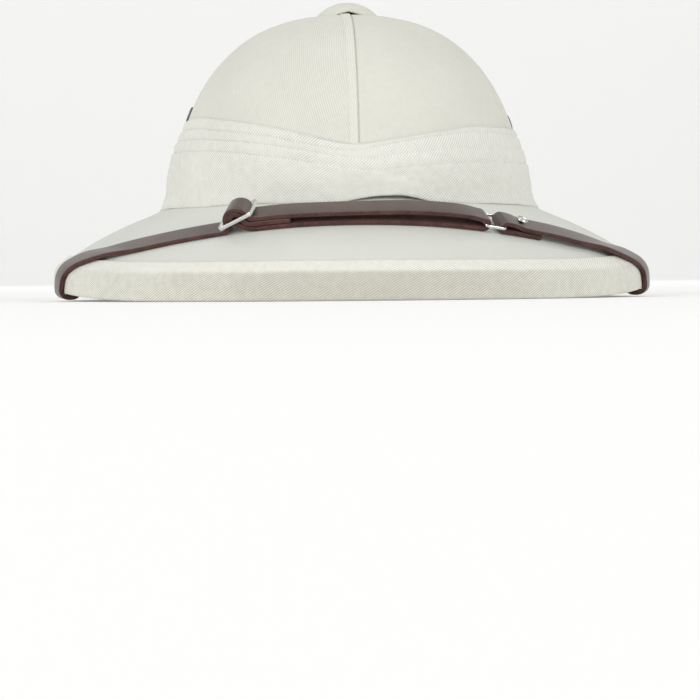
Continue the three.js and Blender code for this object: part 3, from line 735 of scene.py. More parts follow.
# %% Brim
BRIM_COLUMNS = 360
BRIM_FLAT = np.concatenate([[0, 0.02, 0.05, 0.09], np.linspace(0.13, 0.90, 26)])
COVE, COVE_WIDE = 2.0, 15  # how far the cloth fills the corner at the crown's foot, and how wide
BRIM_RIBS = -40  # degrees that the ribs lean in plan


def brim_lines(turn):
    out, height = brim_line(turn, BRIM_FLAT, lip_steps=4)
    height = height + COVE * (1 - ramp(out, 0, COVE_WIDE)) ** 2
    under = offset_line(out, height, -WALL)
    ends = [np.full(len(turn), -float(WALL))] * 2
    edge = [out[-1] - 0.8, out[-1] - WALL + 0.8], [height[-1] - 0.25, height[-1] - 0.25]
    out = np.vstack([ends[:1], out, edge[0], under[0][::-1], ends[:1]])
    height = np.vstack([height[:1], height, edge[1], under[1][::-1], np.full((1, len(turn)), FOOT - WALL)])
    return out, height


def build_brim():
    rows = 2 * (len(BRIM_FLAT) + CORNER_STEPS + 1 + 4) + 4
    bm = spun_wire(rows, BRIM_COLUMNS, loop=True)
    turn, row = turns_and_rows(bm)
    ring_piece(bm, turn, row, brim_lines)
    places = np.array([vert.co for vert in bm.verts])
    piece = store(bm, "brim_shell", ["brim"], [brim_twill])
    corner = corner_verts(piece.data)
    store_cloth(piece.data, *turned(places[corner, 0], places[corner, 1], BRIM_RIBS))


build_brim()

# %% [markdown]
# ## The rim's binding
#
# A bias tape is folded over the lip and glued, so it shows a firm edge on the brim's top and runs
# round the bottom of the lip to the inside. Tape cut on the bias has slanting ribs all round.

# %% Binding
BINDING_FLAT = [0.868, 0.88, 0.89, 0.905]
BINDING_COLUMNS = 420
TAPE_EDGE = 0.35  # how round the tape's cut edge is
TAPE_RIBS = -60  # degrees that the ribs lean
# The tape's top, which faces up, is painted paler as painted light, and its front, which faces forward and
# a little down, is painted darker as painted shade, most at the front middle. The fold between them lies
# that many mm down the tape.
TAPE_PAINTED_LIGHT_AND_SHADE = {"top": 0.2, "front": 0.5, "fold": (6.5, 9.5)}


def binding_lines(turn):
    line = brim_line(turn, BINDING_FLAT, lip_steps=5)
    thick = np.full(len(line[0]), GAP + CLOTH)
    thick[0] -= TAPE_EDGE
    outer = offset_line(*line, thick)
    wave = 0.12 * np.sin(23 * turn + 0.6) + 0.1 * np.sin(37 * turn)
    outer[0][:2] += wave
    edge_out, edge_height = line[0][-1], line[1][-1]
    whole = GAP + CLOTH
    middle = edge_out - WALL / 2
    across = WALL / 2 + whole
    round_out, round_height = [], []
    for angle in np.linspace(0, math.pi, 15)[1:-1]:
        side = math.cos(angle)
        round_out.append(middle + across * math.copysign(abs(side) ** 0.6, side))
        round_height.append(edge_height + 0.6 - (whole + 0.6) * math.sin(angle) ** 0.6)
    straight = line[1][-6]
    inside = [edge_height + 0.6, (edge_height + straight) / 2, straight - 0.8]
    inside_out = [edge_out - WALL - whole] * 3
    lap = [straight - 0.8, edge_height - GAP, edge_height - GAP]
    lap_out = [edge_out - WALL - GAP] * 2 + [edge_out - GAP]
    inner = offset_line(*line, GAP)
    out = np.vstack([outer[0], round_out, inside_out, lap_out, inner[0][::-1]])
    height = np.vstack([outer[1], round_height, inside, lap, inner[1][::-1]])
    return out, height


def build_binding():
    rows = len(binding_lines(np.zeros(1))[0])
    bm = spun_wire(rows, BINDING_COLUMNS, loop=True)
    turn, row = turns_and_rows(bm)
    down = ring_piece(bm, turn, row, binding_lines)
    piece = store(bm, "bias_binding", ["rim_binding"], [tape_twill])
    # painted light on the tape's upturned top, and painted shade on its front, strongest at the front
    # middle
    front = np.maximum(np.cos(turn), 0) ** 4
    past_fold = ramp(down, *TAPE_PAINTED_LIGHT_AND_SHADE["fold"])[row]
    tint(piece, TAPE_PAINTED_LIGHT_AND_SHADE["top"] * (1 - past_fold) - TAPE_PAINTED_LIGHT_AND_SHADE["front"] * front * past_fold)
    lay_cloth(piece, turn, row, lambda around, row, _: turned(rim_arc(around), -down[row], TAPE_RIBS))


build_binding()

# %% [markdown]
# ## The puggaree
#
# The puggaree is one long strip of twill wound round the crown. It is folded lengthways into
# pleats, each lying a little prouder than the one above, and pulled tight, so the folds are crisp.
# At the front the two sides meet low: the left side's lowest bulk crosses over the right one and
# the pleats pinch together there. The hem arches up a little under the crossing, and spreads
# outwards over the brim at the sides.
#
# Each fold line has rows of its own, so its edge stays crisp all the way round.

# %% Puggaree
BAND_COLUMNS = 460
FRONT_GATHER = 0.6
SKIN = 1.0
PLEAT_STEP = 0.85
BELLY = 4.5
BAND_RIBS = -45
FOLDS_AT = [  # where the two middle folds lie between the upper edge and the lowest fold
    [(-180, 0.33), (-90, 0.33), (-30, 0.34), (-6, 0.31), (5, 0.21), (22, 0.13), (45, 0.17),
     (90, 0.25), (140, 0.3)],
    [(-180, 0.67), (-90, 0.67), (-30, 0.62), (-6, 0.58), (5, 0.56), (22, 0.56), (45, 0.58),
     (90, 0.6), (140, 0.64)],
]
FULL_STEP = 0.85
STEPS_AT_FRONT = [  # how far each fold stands out over the cloth above it, round the front
    [(-20, 0.8), (-5, 0.55), (4, 0.42), (14, 0.45), (30, 0.3), (60, 0.4)],
    [(-20, 0.75), (-6, 0.4), (4, 0.12), (14, 0.08), (30, 0.1), (60, 0.25)],
    [(-20, 0.8), (-6, 0.6), (4, 0.3), (14, 0.3), (30, 0.42), (60, 0.5)],
]
STEPS = [
    [(-180, FULL_STEP), (-90, FULL_STEP), *front, (90, 0.8), (130, FULL_STEP)] for front in STEPS_AT_FRONT
]
PLEAT_SHARES = (0.14, 0.3, 0.48, 0.66, 0.82, 0.93)
BULK_SHARES = (0.08, 0.18, 0.3, 0.42, 0.54, 0.66, 0.78, 0.88, 0.95)
TUCK = 1.1  # how far the hem turns under
HEM_ARCH = {"middle": 13.5, "half": 26, "rise": 3.0}
FLARE = {"out": 3.0, "front": 0.3, "fall": 0.36}  # how the hem spreads over the brim
CROSSING = {"from": (12, 58.5), "to": (43, 47.5), "step": 0.95}


def band_rows(turn):
    """The band's closed section as [outward, height] arrays, from its tucked top edge down and round."""
    upper = round_the_head(BAND_TOP, turn)
    lowest = round_the_head(BAND_LOW_FOLD, turn)
    across = crown_arc(turn)
    sag = 0.18 * np.sin(across / 9 + 1) + 0.12 * np.sin(across / 4.3)
    folds = [upper + 0.5 * sag]
    for k, table in enumerate(FOLDS_AT):
        folds.append(upper - round_the_head(table, turn) * (upper - lowest) + sag * (1 - k))
    folds.append(lowest - 0.7 * sag)
    steps = [round_the_head(table, turn) for table in STEPS]
    proud = [GAP + SKIN + k * PLEAT_STEP for k in range(4)]
    top_edge = ((0.25, -1.4), (0.3, -0.3), (0.65, 0.1), (1.1, -0.15), (proud[0], -0.6))
    rows = [(out, folds[0] + up) for out, up in top_edge]
    for k in range(3):
        step = steps[k]
        from_height, to_height = folds[k], folds[k + 1]
        crease = proud[k + 1] - step
        for q in PLEAT_SHARES:
            puff = 0.22 * np.sin(math.pi * q)
            high = from_height + (to_height + 0.5 - from_height) * q
            rows.append((proud[k] + (crease - proud[k]) * q + puff, high))
        rows += [
            (crease - 0.3 * step, to_height + 0.35), (crease - 0.32 * step, to_height - 0.2 * step),
            (crease + 0.12 * step, to_height - 0.02 * step), (crease + 0.5 * step, to_height + 0.12 * step),
            (crease + 0.88 * step, to_height - 0.06 * step), (proud[k + 1] + 0.04, to_height - 0.5 * step),
        ]
    rise = HEM_ARCH["rise"] * (1 - ramp(abs(across - HEM_ARCH["middle"]), 2, HEM_ARCH["half"]))
    flare = FLARE["out"] * (FLARE["front"] + (1 - FLARE["front"]) * np.sin(turn) ** 2)
    hand_laid = 0.2 * np.sin(across / 11) + 0.12 * np.sin(across / 3.7 + 2)
    hem = FOOT - TUCK + rise - FLARE["fall"] * flare + hand_laid
    for q in BULK_SHARES:
        puff = 0.35 * np.sin(math.pi * q)
        spread = flare * ramp(q, 0.6, 1.1) ** 1.5
        high = folds[3] + (hem + TUCK - folds[3]) * q
        rows.append((proud[3] + (BELLY - proud[3]) * q + puff + spread, high))
    edge = BELLY + flare
    rows += [(edge + 0.1, hem + 0.7), (edge + 0.02, hem + 0.25), (edge - 0.45, hem)]
    rows.append((edge - TUCK, hem + 0.05))
    outside = len(rows)
    rows += [(edge - 1.5, hem + 0.5), (edge - 1.7, hem + 1.6)]
    rows += [(1.6, hem + 5 + flare), (0.3, hem + 9 + flare)]
    rows += [(0.25, fold) for fold in folds[3:0:-1]]
    out = np.array([row[0] + 0 * turn for row in rows])
    height = np.array([row[1] + 0 * turn for row in rows])
    return out, height, outside


def crossing_relief(across, height):
    """The left side's bulk over the right one, the hollow under it, and the pinched wrinkles."""
    (x0, z0), (x1, z1) = CROSSING["from"], CROSSING["to"]
    run = math.hypot(x1 - x0, z1 - z0)
    along = ((across - x0) * (x1 - x0) + (height - z0) * (z1 - z0)) / run
    above = ((height - z0) * (x1 - x0) - (across - x0) * (z1 - z0)) / run
    reach = ramp(along, -9, 2) * (1 - ramp(along, run - 2, run + 5))
    relief = CROSSING["step"] * reach * (1 - ramp(above, -0.35, 0.35)) * ramp(above, -11, -1)
    relief -= 0.3 * reach * hill(above, 0.6, 0.5)
    relief -= 0.8 * hill(across, 17, 5.5) * hill(height, 58.6, 2.3)
    for lean, depth in ((-0.42, 0.3), (-0.16, 0.26), (0.12, 0.3), (0.34, 0.22)):
        away = (height - 60) - lean * (across - 8)
        relief -= depth * hill(away, 0, 0.55) * hill(across, 8, 13) * ramp(abs(across - 8), 1, 5)
    return relief


def build_puggaree():
    rows = len(band_rows(np.zeros(1))[0])
    bm = spun_wire(rows, BAND_COLUMNS, loop=True)
    turn, row = turns_and_rows(bm)
    turn = turn - FRONT_GATHER * np.sin(turn)
    columns, which = np.unique(np.round(turn, 9), return_inverse=True)
    out, height, outside = band_rows(columns)
    out, height_at = out[row, which], height[row, which]
    across = crown_arc(turn)
    relief = crossing_relief(across, height_at)
    ripple = 0.1 * np.sin(across / 6 + height_at / 3) + 0.08 * np.sin(across / 13 - height_at / 2)
    out = out + (relief + ripple * ramp(out, 1, 1.6)) * ((row > 4) & (row < outside))
    move_verts(bm, around_crown(turn, height_at, out))
    piece = store(bm, "puggaree_band", ["puggaree"], [band_twill])
    steps = np.hypot(np.diff(height, axis=0), 0).mean(1)
    down = np.concatenate([[0], np.cumsum(steps)])
    lay_cloth(piece, turn, row, lambda around, row, _: turned(crown_arc(around), -down[row], BAND_RIBS))
    return piece


puggaree = build_puggaree()

# %% [markdown]
# ## The vent cap
#
# A small cloth-covered dome sits over the hole at the top and keeps the sun out while air passes
# under it. Its edge is rolled, and at the front it is lifted into a low arch, which is the outlet.
# A short stem holds it to the crown.

# %% Vent cap
CAP = {"radius": 15.7, "height": 7.2, "wall": 1.4, "notch_half": 7.5, "notch_high": 2.1}
CAP_FOOT = crown_high.z + 0.05
CAP_ROWS = 22
CAP_RIBS = 25
STEM = {"radius": 3, "sunk": 1.5}


def cap_section():
    """Rows from the top of the dome out to the rolled edge and back along the inside."""
    radius, height, wall = CAP["radius"], CAP["height"], CAP["wall"]
    ball = (radius**2 + height**2) / (2 * height)
    reach = math.asin(radius / ball)
    over = np.linspace(0, reach * 0.97, CAP_ROWS)
    rows = [(ball * math.sin(a), height - ball * (1 - math.cos(a))) for a in over]
    edge_out, edge_height = rows[-1]
    for angle in np.linspace(30, -150, 9)[1:]:
        turn = math.radians(angle)
        rows.append((edge_out - 0.5 + 0.85 * math.cos(turn), edge_height - 0.35 + 0.85 * math.sin(turn)))
    inner = ball - wall
    back = np.linspace(reach * 0.9, 0, 10)
    rows += [(inner * math.sin(a), height - wall - inner * (1 - math.cos(a))) for a in back]
    return np.array(rows)


def build_cap():
    section = cap_section()
    bm = spun_wire(len(section), 96)
    close_poles(bm, len(section))
    turn, row = turns_and_rows(bm)
    out, height = section[row, 0], section[row, 1]
    across = out * np.sin(turn)
    front = ramp(np.cos(turn), 0, 0.4) * ramp(out, 5, CAP["radius"])
    arch = CAP["notch_high"] * np.clip(1 - np.abs(across) / CAP["notch_half"], 0, 1) ** 0.85
    height = height + arch * front
    out = out + 0.5 * ramp(arch, 0, CAP["notch_high"]) * front * ramp(out, 12, CAP["radius"])
    move_verts(bm, np.stack([out * np.sin(turn), -out * np.cos(turn), CAP_FOOT + height], 1))
    piece = store(bm, "vent_dome", ["vent_cap"], [crown_twill])
    lay_cloth(piece, turn, row, lambda around, row, _: turned(
        section[row, 0] * np.sin(around), -section[row, 0] * np.cos(around), CAP_RIBS))


def spun_profile(profile, columns, loop=False):
    """A turned piece: [outward, height] points spun about +Z, with sharp corners left to the bevel."""
    bm = bmesh.new()
    tip = bmesh.ops.create_vert(bm, co=(profile[0][0], 0, profile[0][1]))["vert"]
    first = tip[0]
    for before, after in zip(profile, profile[1:]):
        tip = bmesh.ops.extrude_vert_indiv(bm, verts=tip)["verts"]
        bmesh.ops.translate(bm, verts=tip, vec=(after[0] - before[0], 0, after[1] - before[1]))
    if loop:
        bmesh.ops.contextual_create(bm, geom=[first, tip[0]])
    bmesh.ops.spin(
        bm, geom=bm.verts[:] + bm.edges[:], cent=(0, 0, 0), axis=(0, 0, 1),
        angle=2 * math.pi, steps=columns, use_merge=True,
    )
    bmesh.ops.remove_doubles(bm, verts=bm.verts, dist=1e-4)
    bmesh.ops.recalc_face_normals(bm, faces=bm.faces)
    return bm


def soften(bm, offset, segments=2, sharper_than=35):
    """Rounds every edge that turns more than that many degrees."""
    limit = math.radians(sharper_than)
    edges = [edge for edge in bm.edges if edge.is_manifold and edge.calc_face_angle(0) > limit]
    bmesh.ops.bevel(
        bm, geom=edges, offset=offset, offset_type="OFFSET", segments=segments, profile=0.5,
        affect="EDGES", clamp_overlap=True, material=-1,
    )


def build_stem():
    top = CAP_FOOT + CAP["height"] - CAP["wall"] - 0.1
    foot = crown_high.z - WALL + STEM["sunk"]
    bm = spun_profile([(0, foot), (STEM["radius"], foot), (STEM["radius"], top), (0, top)], 32)
    soften(bm, 0.3)
    store(bm, "vent_stem", ["vent_cap_stem"], [nickel])


build_cap()
build_stem()

# %% [markdown]
# ## The side vents
#
# Each side has one small metal eyelet. It is a tube with a rolled flange outside and its end
# splayed inside, set the way an eyelet press sets it.

# %% Eyelets
def build_eyelet(side):
    flange, barrel, bore = EYELET["flange"], EYELET["barrel"], EYELET["bore"]
    profile = [(bore, -WALL - 0.5), (bore, -0.4)]
    middle, half = (flange + bore) / 2, (flange - bore) / 2
    for angle in np.linspace(165, -30, 12):
        turn = math.radians(angle)
        profile.append((middle + half * math.cos(turn), 0.15 + EYELET["thick"] * math.sin(turn)))
    profile += [(barrel + 0.2, 0.0), (barrel, -0.4), (barrel, -WALL - 0.1)]
    for angle in np.linspace(120, -150, 9):
        turn = math.radians(angle)
        profile.append((barrel + 0.55 + 0.7 * math.cos(turn), -WALL - 0.75 + 0.5 * math.sin(turn)))
    bm = spun_profile(profile, 48, loop=True)
    bmesh.ops.transform(bm, verts=bm.verts, matrix=eyelet_frame(side))
    store(bm, f"side_vent_{side}", [f"vent_eyelet_{side}"], [dark_nickel])


for side in ("left", "right"):
    build_eyelet(side)

# %% [markdown]
# ## The strap's lane
#
# The chin strap is stowed over the brim. Each half leaves its fastening under the brim, wraps the
# bound rim, and runs over the brim's top to the front. The lane says where its middle runs: the
# turn round the head, and the way past the rim's corner measured over the brim and back under it.
# A table of points over the brim is made once. The strap, its metal and its wraps all read it, so
# they fit one another.

# %% Lane
STRAP = {"width": 10.5, "thick": 2.3, "slack": 0.25}
LAYER = STRAP["thick"] + GAP
FIRST = GAP + STRAP["thick"] / 2
LANE = [
    (0, -44.4), (10, -43.8), (20, -41.6), (30, -37.6), (40, -32), (50, -24.9), (58, -18),
    (65, -10.6), (70.5, -2), (72.6, 5), (73.4, 12), (74.6, 20), (79.5, 40), (83.5, 60), (86.5, 76),
]
BELT_TURNS = np.radians(np.arange(0, 93.5, 0.5))
BELT_STEP = 0.25
BELT_PAST = np.arange(-50, 92, BELT_STEP)
BELT_FLAT = np.concatenate([np.linspace(0, 0.9, 60), [0.91]])


def make_belt():
    """Places and outward directions of a tight belt over the brim, for each turn and way past."""
    out, height = brim_line(BELT_TURNS, BELT_FLAT, lip_steps=4)
    thick = GAP + CLOTH + STRAP["slack"]
    share = np.concatenate([BELT_FLAT, np.ones(len(out) - len(BELT_FLAT))])
    edge_out, edge_height = out[-1], height[-1]
    corner = len(BELT_FLAT) + CORNER_STEPS // 2
    out, height = offset_line(out, height, thick * ramp(share, 0.76, 0.87))
    middle_out, middle_height = edge_out - WALL / 2, edge_height + 1.2
    across, down = WALL / 2 + thick, 1.2 + thick
    wrap = []
    for angle in np.linspace(0, math.pi, 41):
        side = math.cos(angle)
        wrap.append((
            middle_out + across * math.copysign(abs(side) ** 0.7, side),
            middle_height - down * math.sin(angle) ** 0.7,
        ))
    wrap = np.array(wrap)
    start, end = wrap[-1], np.array([[2.0], [FOOT - WALL - 3 * GAP - STRAP["thick"]]])
    beyond = end + 0.6 * (end - start)
    out = np.vstack([out[:-1], wrap[:, 0], end[0] + 0 * start[:1], beyond[:1]])
    height = np.vstack([height[:-1], wrap[:, 1], end[1] + 0 * start[:1], beyond[1:]])
    places, aways = [], []
    kernel = np.hanning(9)
    kernel /= kernel.sum()
    for k, turn in enumerate(BELT_TURNS):
        length = np.concatenate([[0], np.cumsum(np.hypot(np.diff(out[:, k]), np.diff(height[:, k])))])
        want = length[corner] + BELT_PAST
        line = np.stack([np.interp(want, length, out[:, k]), np.interp(want, length, height[:, k])], 1)
        padded = np.pad(line, ((4, 4), (0, 0)), mode="reflect", reflect_type="odd")
        line = np.stack([np.convolve(padded[:, c], kernel, mode="valid") for c in (0, 1)], 1)
        along = np.gradient(line, axis=0)
        along /= np.maximum(np.linalg.norm(along, axis=1), 1e-9)[:, None]
        turns = np.full(len(line), turn)
        place = over_brim(turns, line[:, 0], line[:, 1])
        away = over_brim(turns, line[:, 0] - along[:, 1], line[:, 1] + along[:, 0]) - place
        places.append(place)
        aways.append(away / np.linalg.norm(away, axis=1)[:, None])
    return np.concatenate([np.array(places), np.array(aways)], axis=2)


BELT = make_belt()


def belt(turn, past):
    """The place on the belt and the direction away from the brim there, for arrays."""
    column = np.clip(np.abs(turn) / BELT_TURNS[1], 0, len(BELT_TURNS) - 1.001)
    row = np.clip((past - BELT_PAST[0]) / BELT_STEP, 0, len(BELT_PAST) - 1.001)
    i, j = column.astype(int), row.astype(int)
    fi, fj = (column - i)[..., None], (row - j)[..., None]
    found = (
        BELT[i, j] * (1 - fi) * (1 - fj) + BELT[i + 1, j] * fi * (1 - fj)
        + BELT[i, j + 1] * (1 - fi) * fj + BELT[i + 1, j + 1] * fi * fj
    )
    mirror = np.where(turn < 0, -1.0, 1.0)
    found = found * np.stack([mirror, 1 + 0 * mirror, 1 + 0 * mirror] * 2, -1)
    return found[..., :3], found[..., 3:]


def through(points, steps, centripetal=False):
    """A smooth line through the points, as a Catmull-Rom spline."""
    points = np.array(points, float)
    points = np.vstack([2 * points[0] - points[1], points, 2 * points[-1] - points[-2]])
    line = []
    for p0, p1, p2, p3 in zip(points, points[1:], points[2:], points[3:]):
        pairs = ((p0, p1), (p1, p2), (p2, p3))
        gaps = [np.linalg.norm(b - a) ** 0.5 if centripetal else 1 for a, b in pairs]
        leave = ((p1 - p0) / gaps[0] - (p2 - p0) / (gaps[0] + gaps[1]) + (p2 - p1) / gaps[1]) * gaps[1]
        meet = ((p2 - p1) / gaps[1] - (p3 - p1) / (gaps[1] + gaps[2]) + (p3 - p2) / gaps[2]) * gaps[1]
        f = np.linspace(0, 1, steps, endpoint=False)[:, None]
        line.append(
            (2 * f**3 - 3 * f**2 + 1) * p1 + (f**3 - 2 * f**2 + f) * leave
            + (3 * f**2 - 2 * f**3) * p2 + (f**3 - f**2) * meet
        )
    return np.vstack([*line, points[-2:-1]])


def lengths_along(line):
    return np.concatenate([[0], np.cumsum(np.linalg.norm(np.diff(line, axis=0), axis=1))])


LANE_POINTS = through([(-turn, past) for turn, past in LANE[:0:-1]] + LANE, 24, centripetal=True)
LANE_LENGTH = lengths_along(belt(np.radians(LANE_POINTS[:, 0]), LANE_POINTS[:, 1])[0])
LANE_END = LANE_LENGTH[-1] / 2
print(f"the lane is {2 * LANE_END:.0f} mm long from end to end")


def lane_at(along):
    turn = np.interp(along + LANE_END, LANE_LENGTH, LANE_POINTS[:, 0])
    return np.radians(turn), np.interp(along + LANE_END, LANE_LENGTH, LANE_POINTS[:, 1])


def over_lane(along, high, side):
    """A point of the strap's own space: along the lane, high over the brim, side across it."""
    along, high, side = (np.asarray(value, float) for value in (along, high, side))
    turn, past = lane_at(along)
    step = 0.6
    here, away = belt(turn, past)
    by_turn = (belt(turn + 0.01, past)[0] - belt(turn - 0.01, past)[0]) * 50
    by_past = (belt(turn, past + step)[0] - belt(turn, past - step)[0]) / (2 * step)
    ahead, behind = lane_at(along + step), lane_at(along - step)
    forward = belt(*ahead)[0] - belt(*behind)[0]
    across = -np.cross(forward, away)
    across /= np.linalg.norm(across, axis=-1)[..., None]
    dot = lambda a, b: (a * b).sum(-1)
    tt, pp, tp = dot(by_turn, by_turn), dot(by_past, by_past), dot(by_turn, by_past)
    ts, ps = dot(by_turn, across), dot(by_past, across)
    whole = tt * pp - tp * tp
    place, away = belt(turn + side * (ts * pp - ps * tp) / whole, past + side * (ps * tt - ts * tp) / whole)
    return place + away * high[..., None]


def lane_frame(along, high, tilt=0.0):
    """The lane's axes at a place, for rigid metal that sits on the strap."""
    at = lambda a, h: Vector(over_lane([a], [h], [0.0])[0])
    origin = at(along, high)
    forward = (at(along + 1, high) - at(along - 1, high)).normalized()
    up = (at(along, high + 1) - origin).normalized()
    side = up.cross(forward).normalized()
    frame = Matrix((forward, side, forward.cross(side))).transposed().to_4x4()
    frame.translation = origin
    return frame @ Matrix.Rotation(-tilt, 4, "Y")


# %% [markdown]
# ## The leather strap
#
# The strap is vegetable leather, about 10 mm wide and 2.3 mm thick, dyed on its grain side, with
# a raw reddish edge. The long half runs from under the left of the brim, over the rim, round the
# slide's middle bar, out to the link ring and back, and its tail lies folded under the top layer.
# The short half is folded round the ring and held by a stud.
#
# Each is a straight flat strip first: a grid made solid, with its long corners rounded. Then every
# vertex is carried onto the path.

# %% Strap paths
PLACES = {"slide": -56.5, "tail_end": -32, "ring": 62, "stud": 77, "short_tail_end": 88}
SLIDE = {
    "length": 18.4, "across": 14.4, "thick": 1.8, "end_bar": 2.4, "mid_bar": 2, "low": 4.45, "high": 10.15,
}
RING = {"length": 12.4, "across": 14.2, "wire": 1.6, "corner": 2.0, "flat": (0.72, 0.95)}
STUD = {"head": 2.9, "dome": 1.7, "shank": 1.3, "lift": 1.5}
LONG_FOLD = {"along": PLACES["ring"] - 5.8, "radius": 2.35}
SHORT_FOLD = {"along": PLACES["ring"] + 5.6, "radius": 2.15}
RUN_STEP = 12
SLIDE_MIDDLE = (SLIDE["low"] + SLIDE["high"]) / 2
SLIDE_TILT = math.atan2(SLIDE["high"] - SLIDE["low"], SLIDE["length"] - 2)


def arc(along, high, radius, start, end, steps):
    angles = np.radians(np.linspace(start, end, steps + 1))
    return [(along + radius * math.cos(a), high + radius * math.sin(a)) for a in angles]


def run(start, end):
    steps = math.ceil(math.dist(start, end) / RUN_STEP)
    shift = end[0] - start[0], end[1] - start[1]
    return [(start[0] + shift[0] * k / steps, start[1] + shift[1] * k / steps) for k in range(steps + 1)]


def long_path():
    at = lambda along, high: (PLACES["slide"] + along, high)
    second, third, loop = FIRST + LAYER, FIRST + 2 * LAYER, LONG_FOLD["radius"]
    tail, fold, top = PLACES["tail_end"], LONG_FOLD["along"], FIRST + 2 * loop
    return [
        *run((tail, second), at(11, second)), at(8.2, second), at(5.9, 4.15), at(4.2, 4.9), at(3.1, 6.3),
        *arc(PLACES["slide"], SLIDE_MIDDLE, 2.65, 20, 270, 8), at(2, 3.7), at(4, 2.4), at(6, 1.65),
        *run(at(9, FIRST), (fold - 2, FIRST)), *arc(fold, FIRST + loop, loop, -90, 60, 5),
        (fold - 2.2, top + 0.1), (fold - 7, top + 0.8), (fold - 14, top + 1.1),
        (24, 7.2), (6, 6.6), (-12, 6.3),
        (tail + 3, third - 0.15), (tail - 4, third), at(11, third), at(8.2, third), at(6.9, 6.85),
        at(5.9, 7.8), at(5.1, 9.6), at(3.4, 11.6), at(0.6, 12.4), at(-2.1, 11.7), at(-4.1, 9.6),
        at(-5.05, 7.2), at(-5, 5), at(-5.05, 3.5), at(-5.6, 2.2), at(-7, 1.6), at(-8.6, FIRST),
        *run(at(-13, FIRST), (-LANE_END, FIRST)),
    ]


def short_path():
    along, radius, end = SHORT_FOLD["along"], SHORT_FOLD["radius"], PLACES["short_tail_end"]
    return [
        *run((end, FIRST), (along + 5, FIRST)), *arc(along, FIRST + radius, radius, 270, 90, 6),
        (along + 5, FIRST + 2 * radius - 0.4), (PLACES["stud"], FIRST + LAYER + 0.35),
        (end - 4, FIRST + LAYER), (end + 8, FIRST + LAYER - 0.1), (end + 22, FIRST + LAYER - 0.6),
        (end + 38, FIRST + 1.3), (end + 52, FIRST + 0.5), *run((end + 64, FIRST), (LANE_END, FIRST)),
    ]


# %% Strap
STRAP_ACROSS = 8
CORNER = 0.42  # radius of the strap's rounded long corners


def grid_shares(bm):
    """How far along the grid's box each vertex lies, from 0 to 1 on each axis."""
    places = np.array([vert.co for vert in bm.verts])
    low, high = places.min(0), places.max(0)
    return (places - low) / np.maximum(high - low, 1e-9)


def strip(stations, width, thick):
    """A straight flat strip along +X with a unit between stations, corners rounded."""
    bm = bmesh.new()
    bmesh.ops.create_grid(bm, x_segments=stations, y_segments=STRAP_ACROSS, size=1)
    share = grid_shares(bm)
    move_verts(bm, np.stack([share[:, 0] * stations, (share[:, 1] - 0.5) * width, 0 * share[:, 2]], 1))
    bmesh.ops.recalc_face_normals(bm, faces=bm.faces)
    bmesh.ops.solidify(bm, geom=bm.faces[:], thickness=thick)
    heights = [vert.co.z for vert in bm.verts]
    bmesh.ops.translate(bm, verts=bm.verts, vec=(0, 0, -(max(heights) + min(heights)) / 2))
    bmesh.ops.recalc_face_normals(bm, faces=bm.faces)
    soften(bm, CORNER, segments=3)
    return bm


def build_strap(name, node, path, grain):
    line = through(path, 24)
    length = lengths_along(line)
    along = np.gradient(line, axis=0)
    heading = np.unwrap(np.arctan2(along[:, 1], along[:, 0]))
    bend = np.abs(np.gradient(heading, length + 1e-9 * np.arange(len(length))))
    turn, past = lane_at(line[:, 0])
    rim = hill(past, 8, 14)
    crowd = 0.55 + 5 * np.minimum(bend, 0.6) + 0.9 * rim
    count = np.concatenate([[0], np.cumsum((crowd[1:] + crowd[:-1]) / 2 * np.diff(length))])
    stations = int(count[-1])
    bm = strip(stations, STRAP["width"], STRAP["thick"])
    raw_below = math.cos(math.radians(50))
    for face in bm.faces:
        face.material_index = 0 if grain * face.normal.z > raw_below else 1
    strip_places = np.array([vert.co for vert in bm.verts])
    want = np.interp(strip_places[:, 0] / stations * count[-1], count, length)
    middle = np.stack([np.interp(want, length, line[:, k]) for k in (0, 1)], 1)
    normal = -np.sin(np.interp(want, length, heading)), np.cos(np.interp(want, length, heading))
    thick = strip_places[:, 2]
    place_along, high = middle[:, 0] + thick * normal[0], middle[:, 1] + thick * normal[1]
    move_verts(bm, over_lane(place_along, high, strip_places[:, 1]))
    print(f"{name}: {length[-1]:.0f} mm of leather")
    return store(bm, name, [node], [strap_grain, strap_edge])


build_strap("strap_long_half", "chin_strap_long", long_path(), grain=-1)
build_strap("strap_short_half", "chin_strap_short", short_path(), grain=1)

# %% [markdown]
# ## The strap's metal
#
# The slide is stamped from sheet: a flat frame with a middle bar, edges rounded by tumbling. The
# ring is flattened wire. The stud is a domed rivet through both layers. Two plain posts under the
# brim hold the strap's ends.

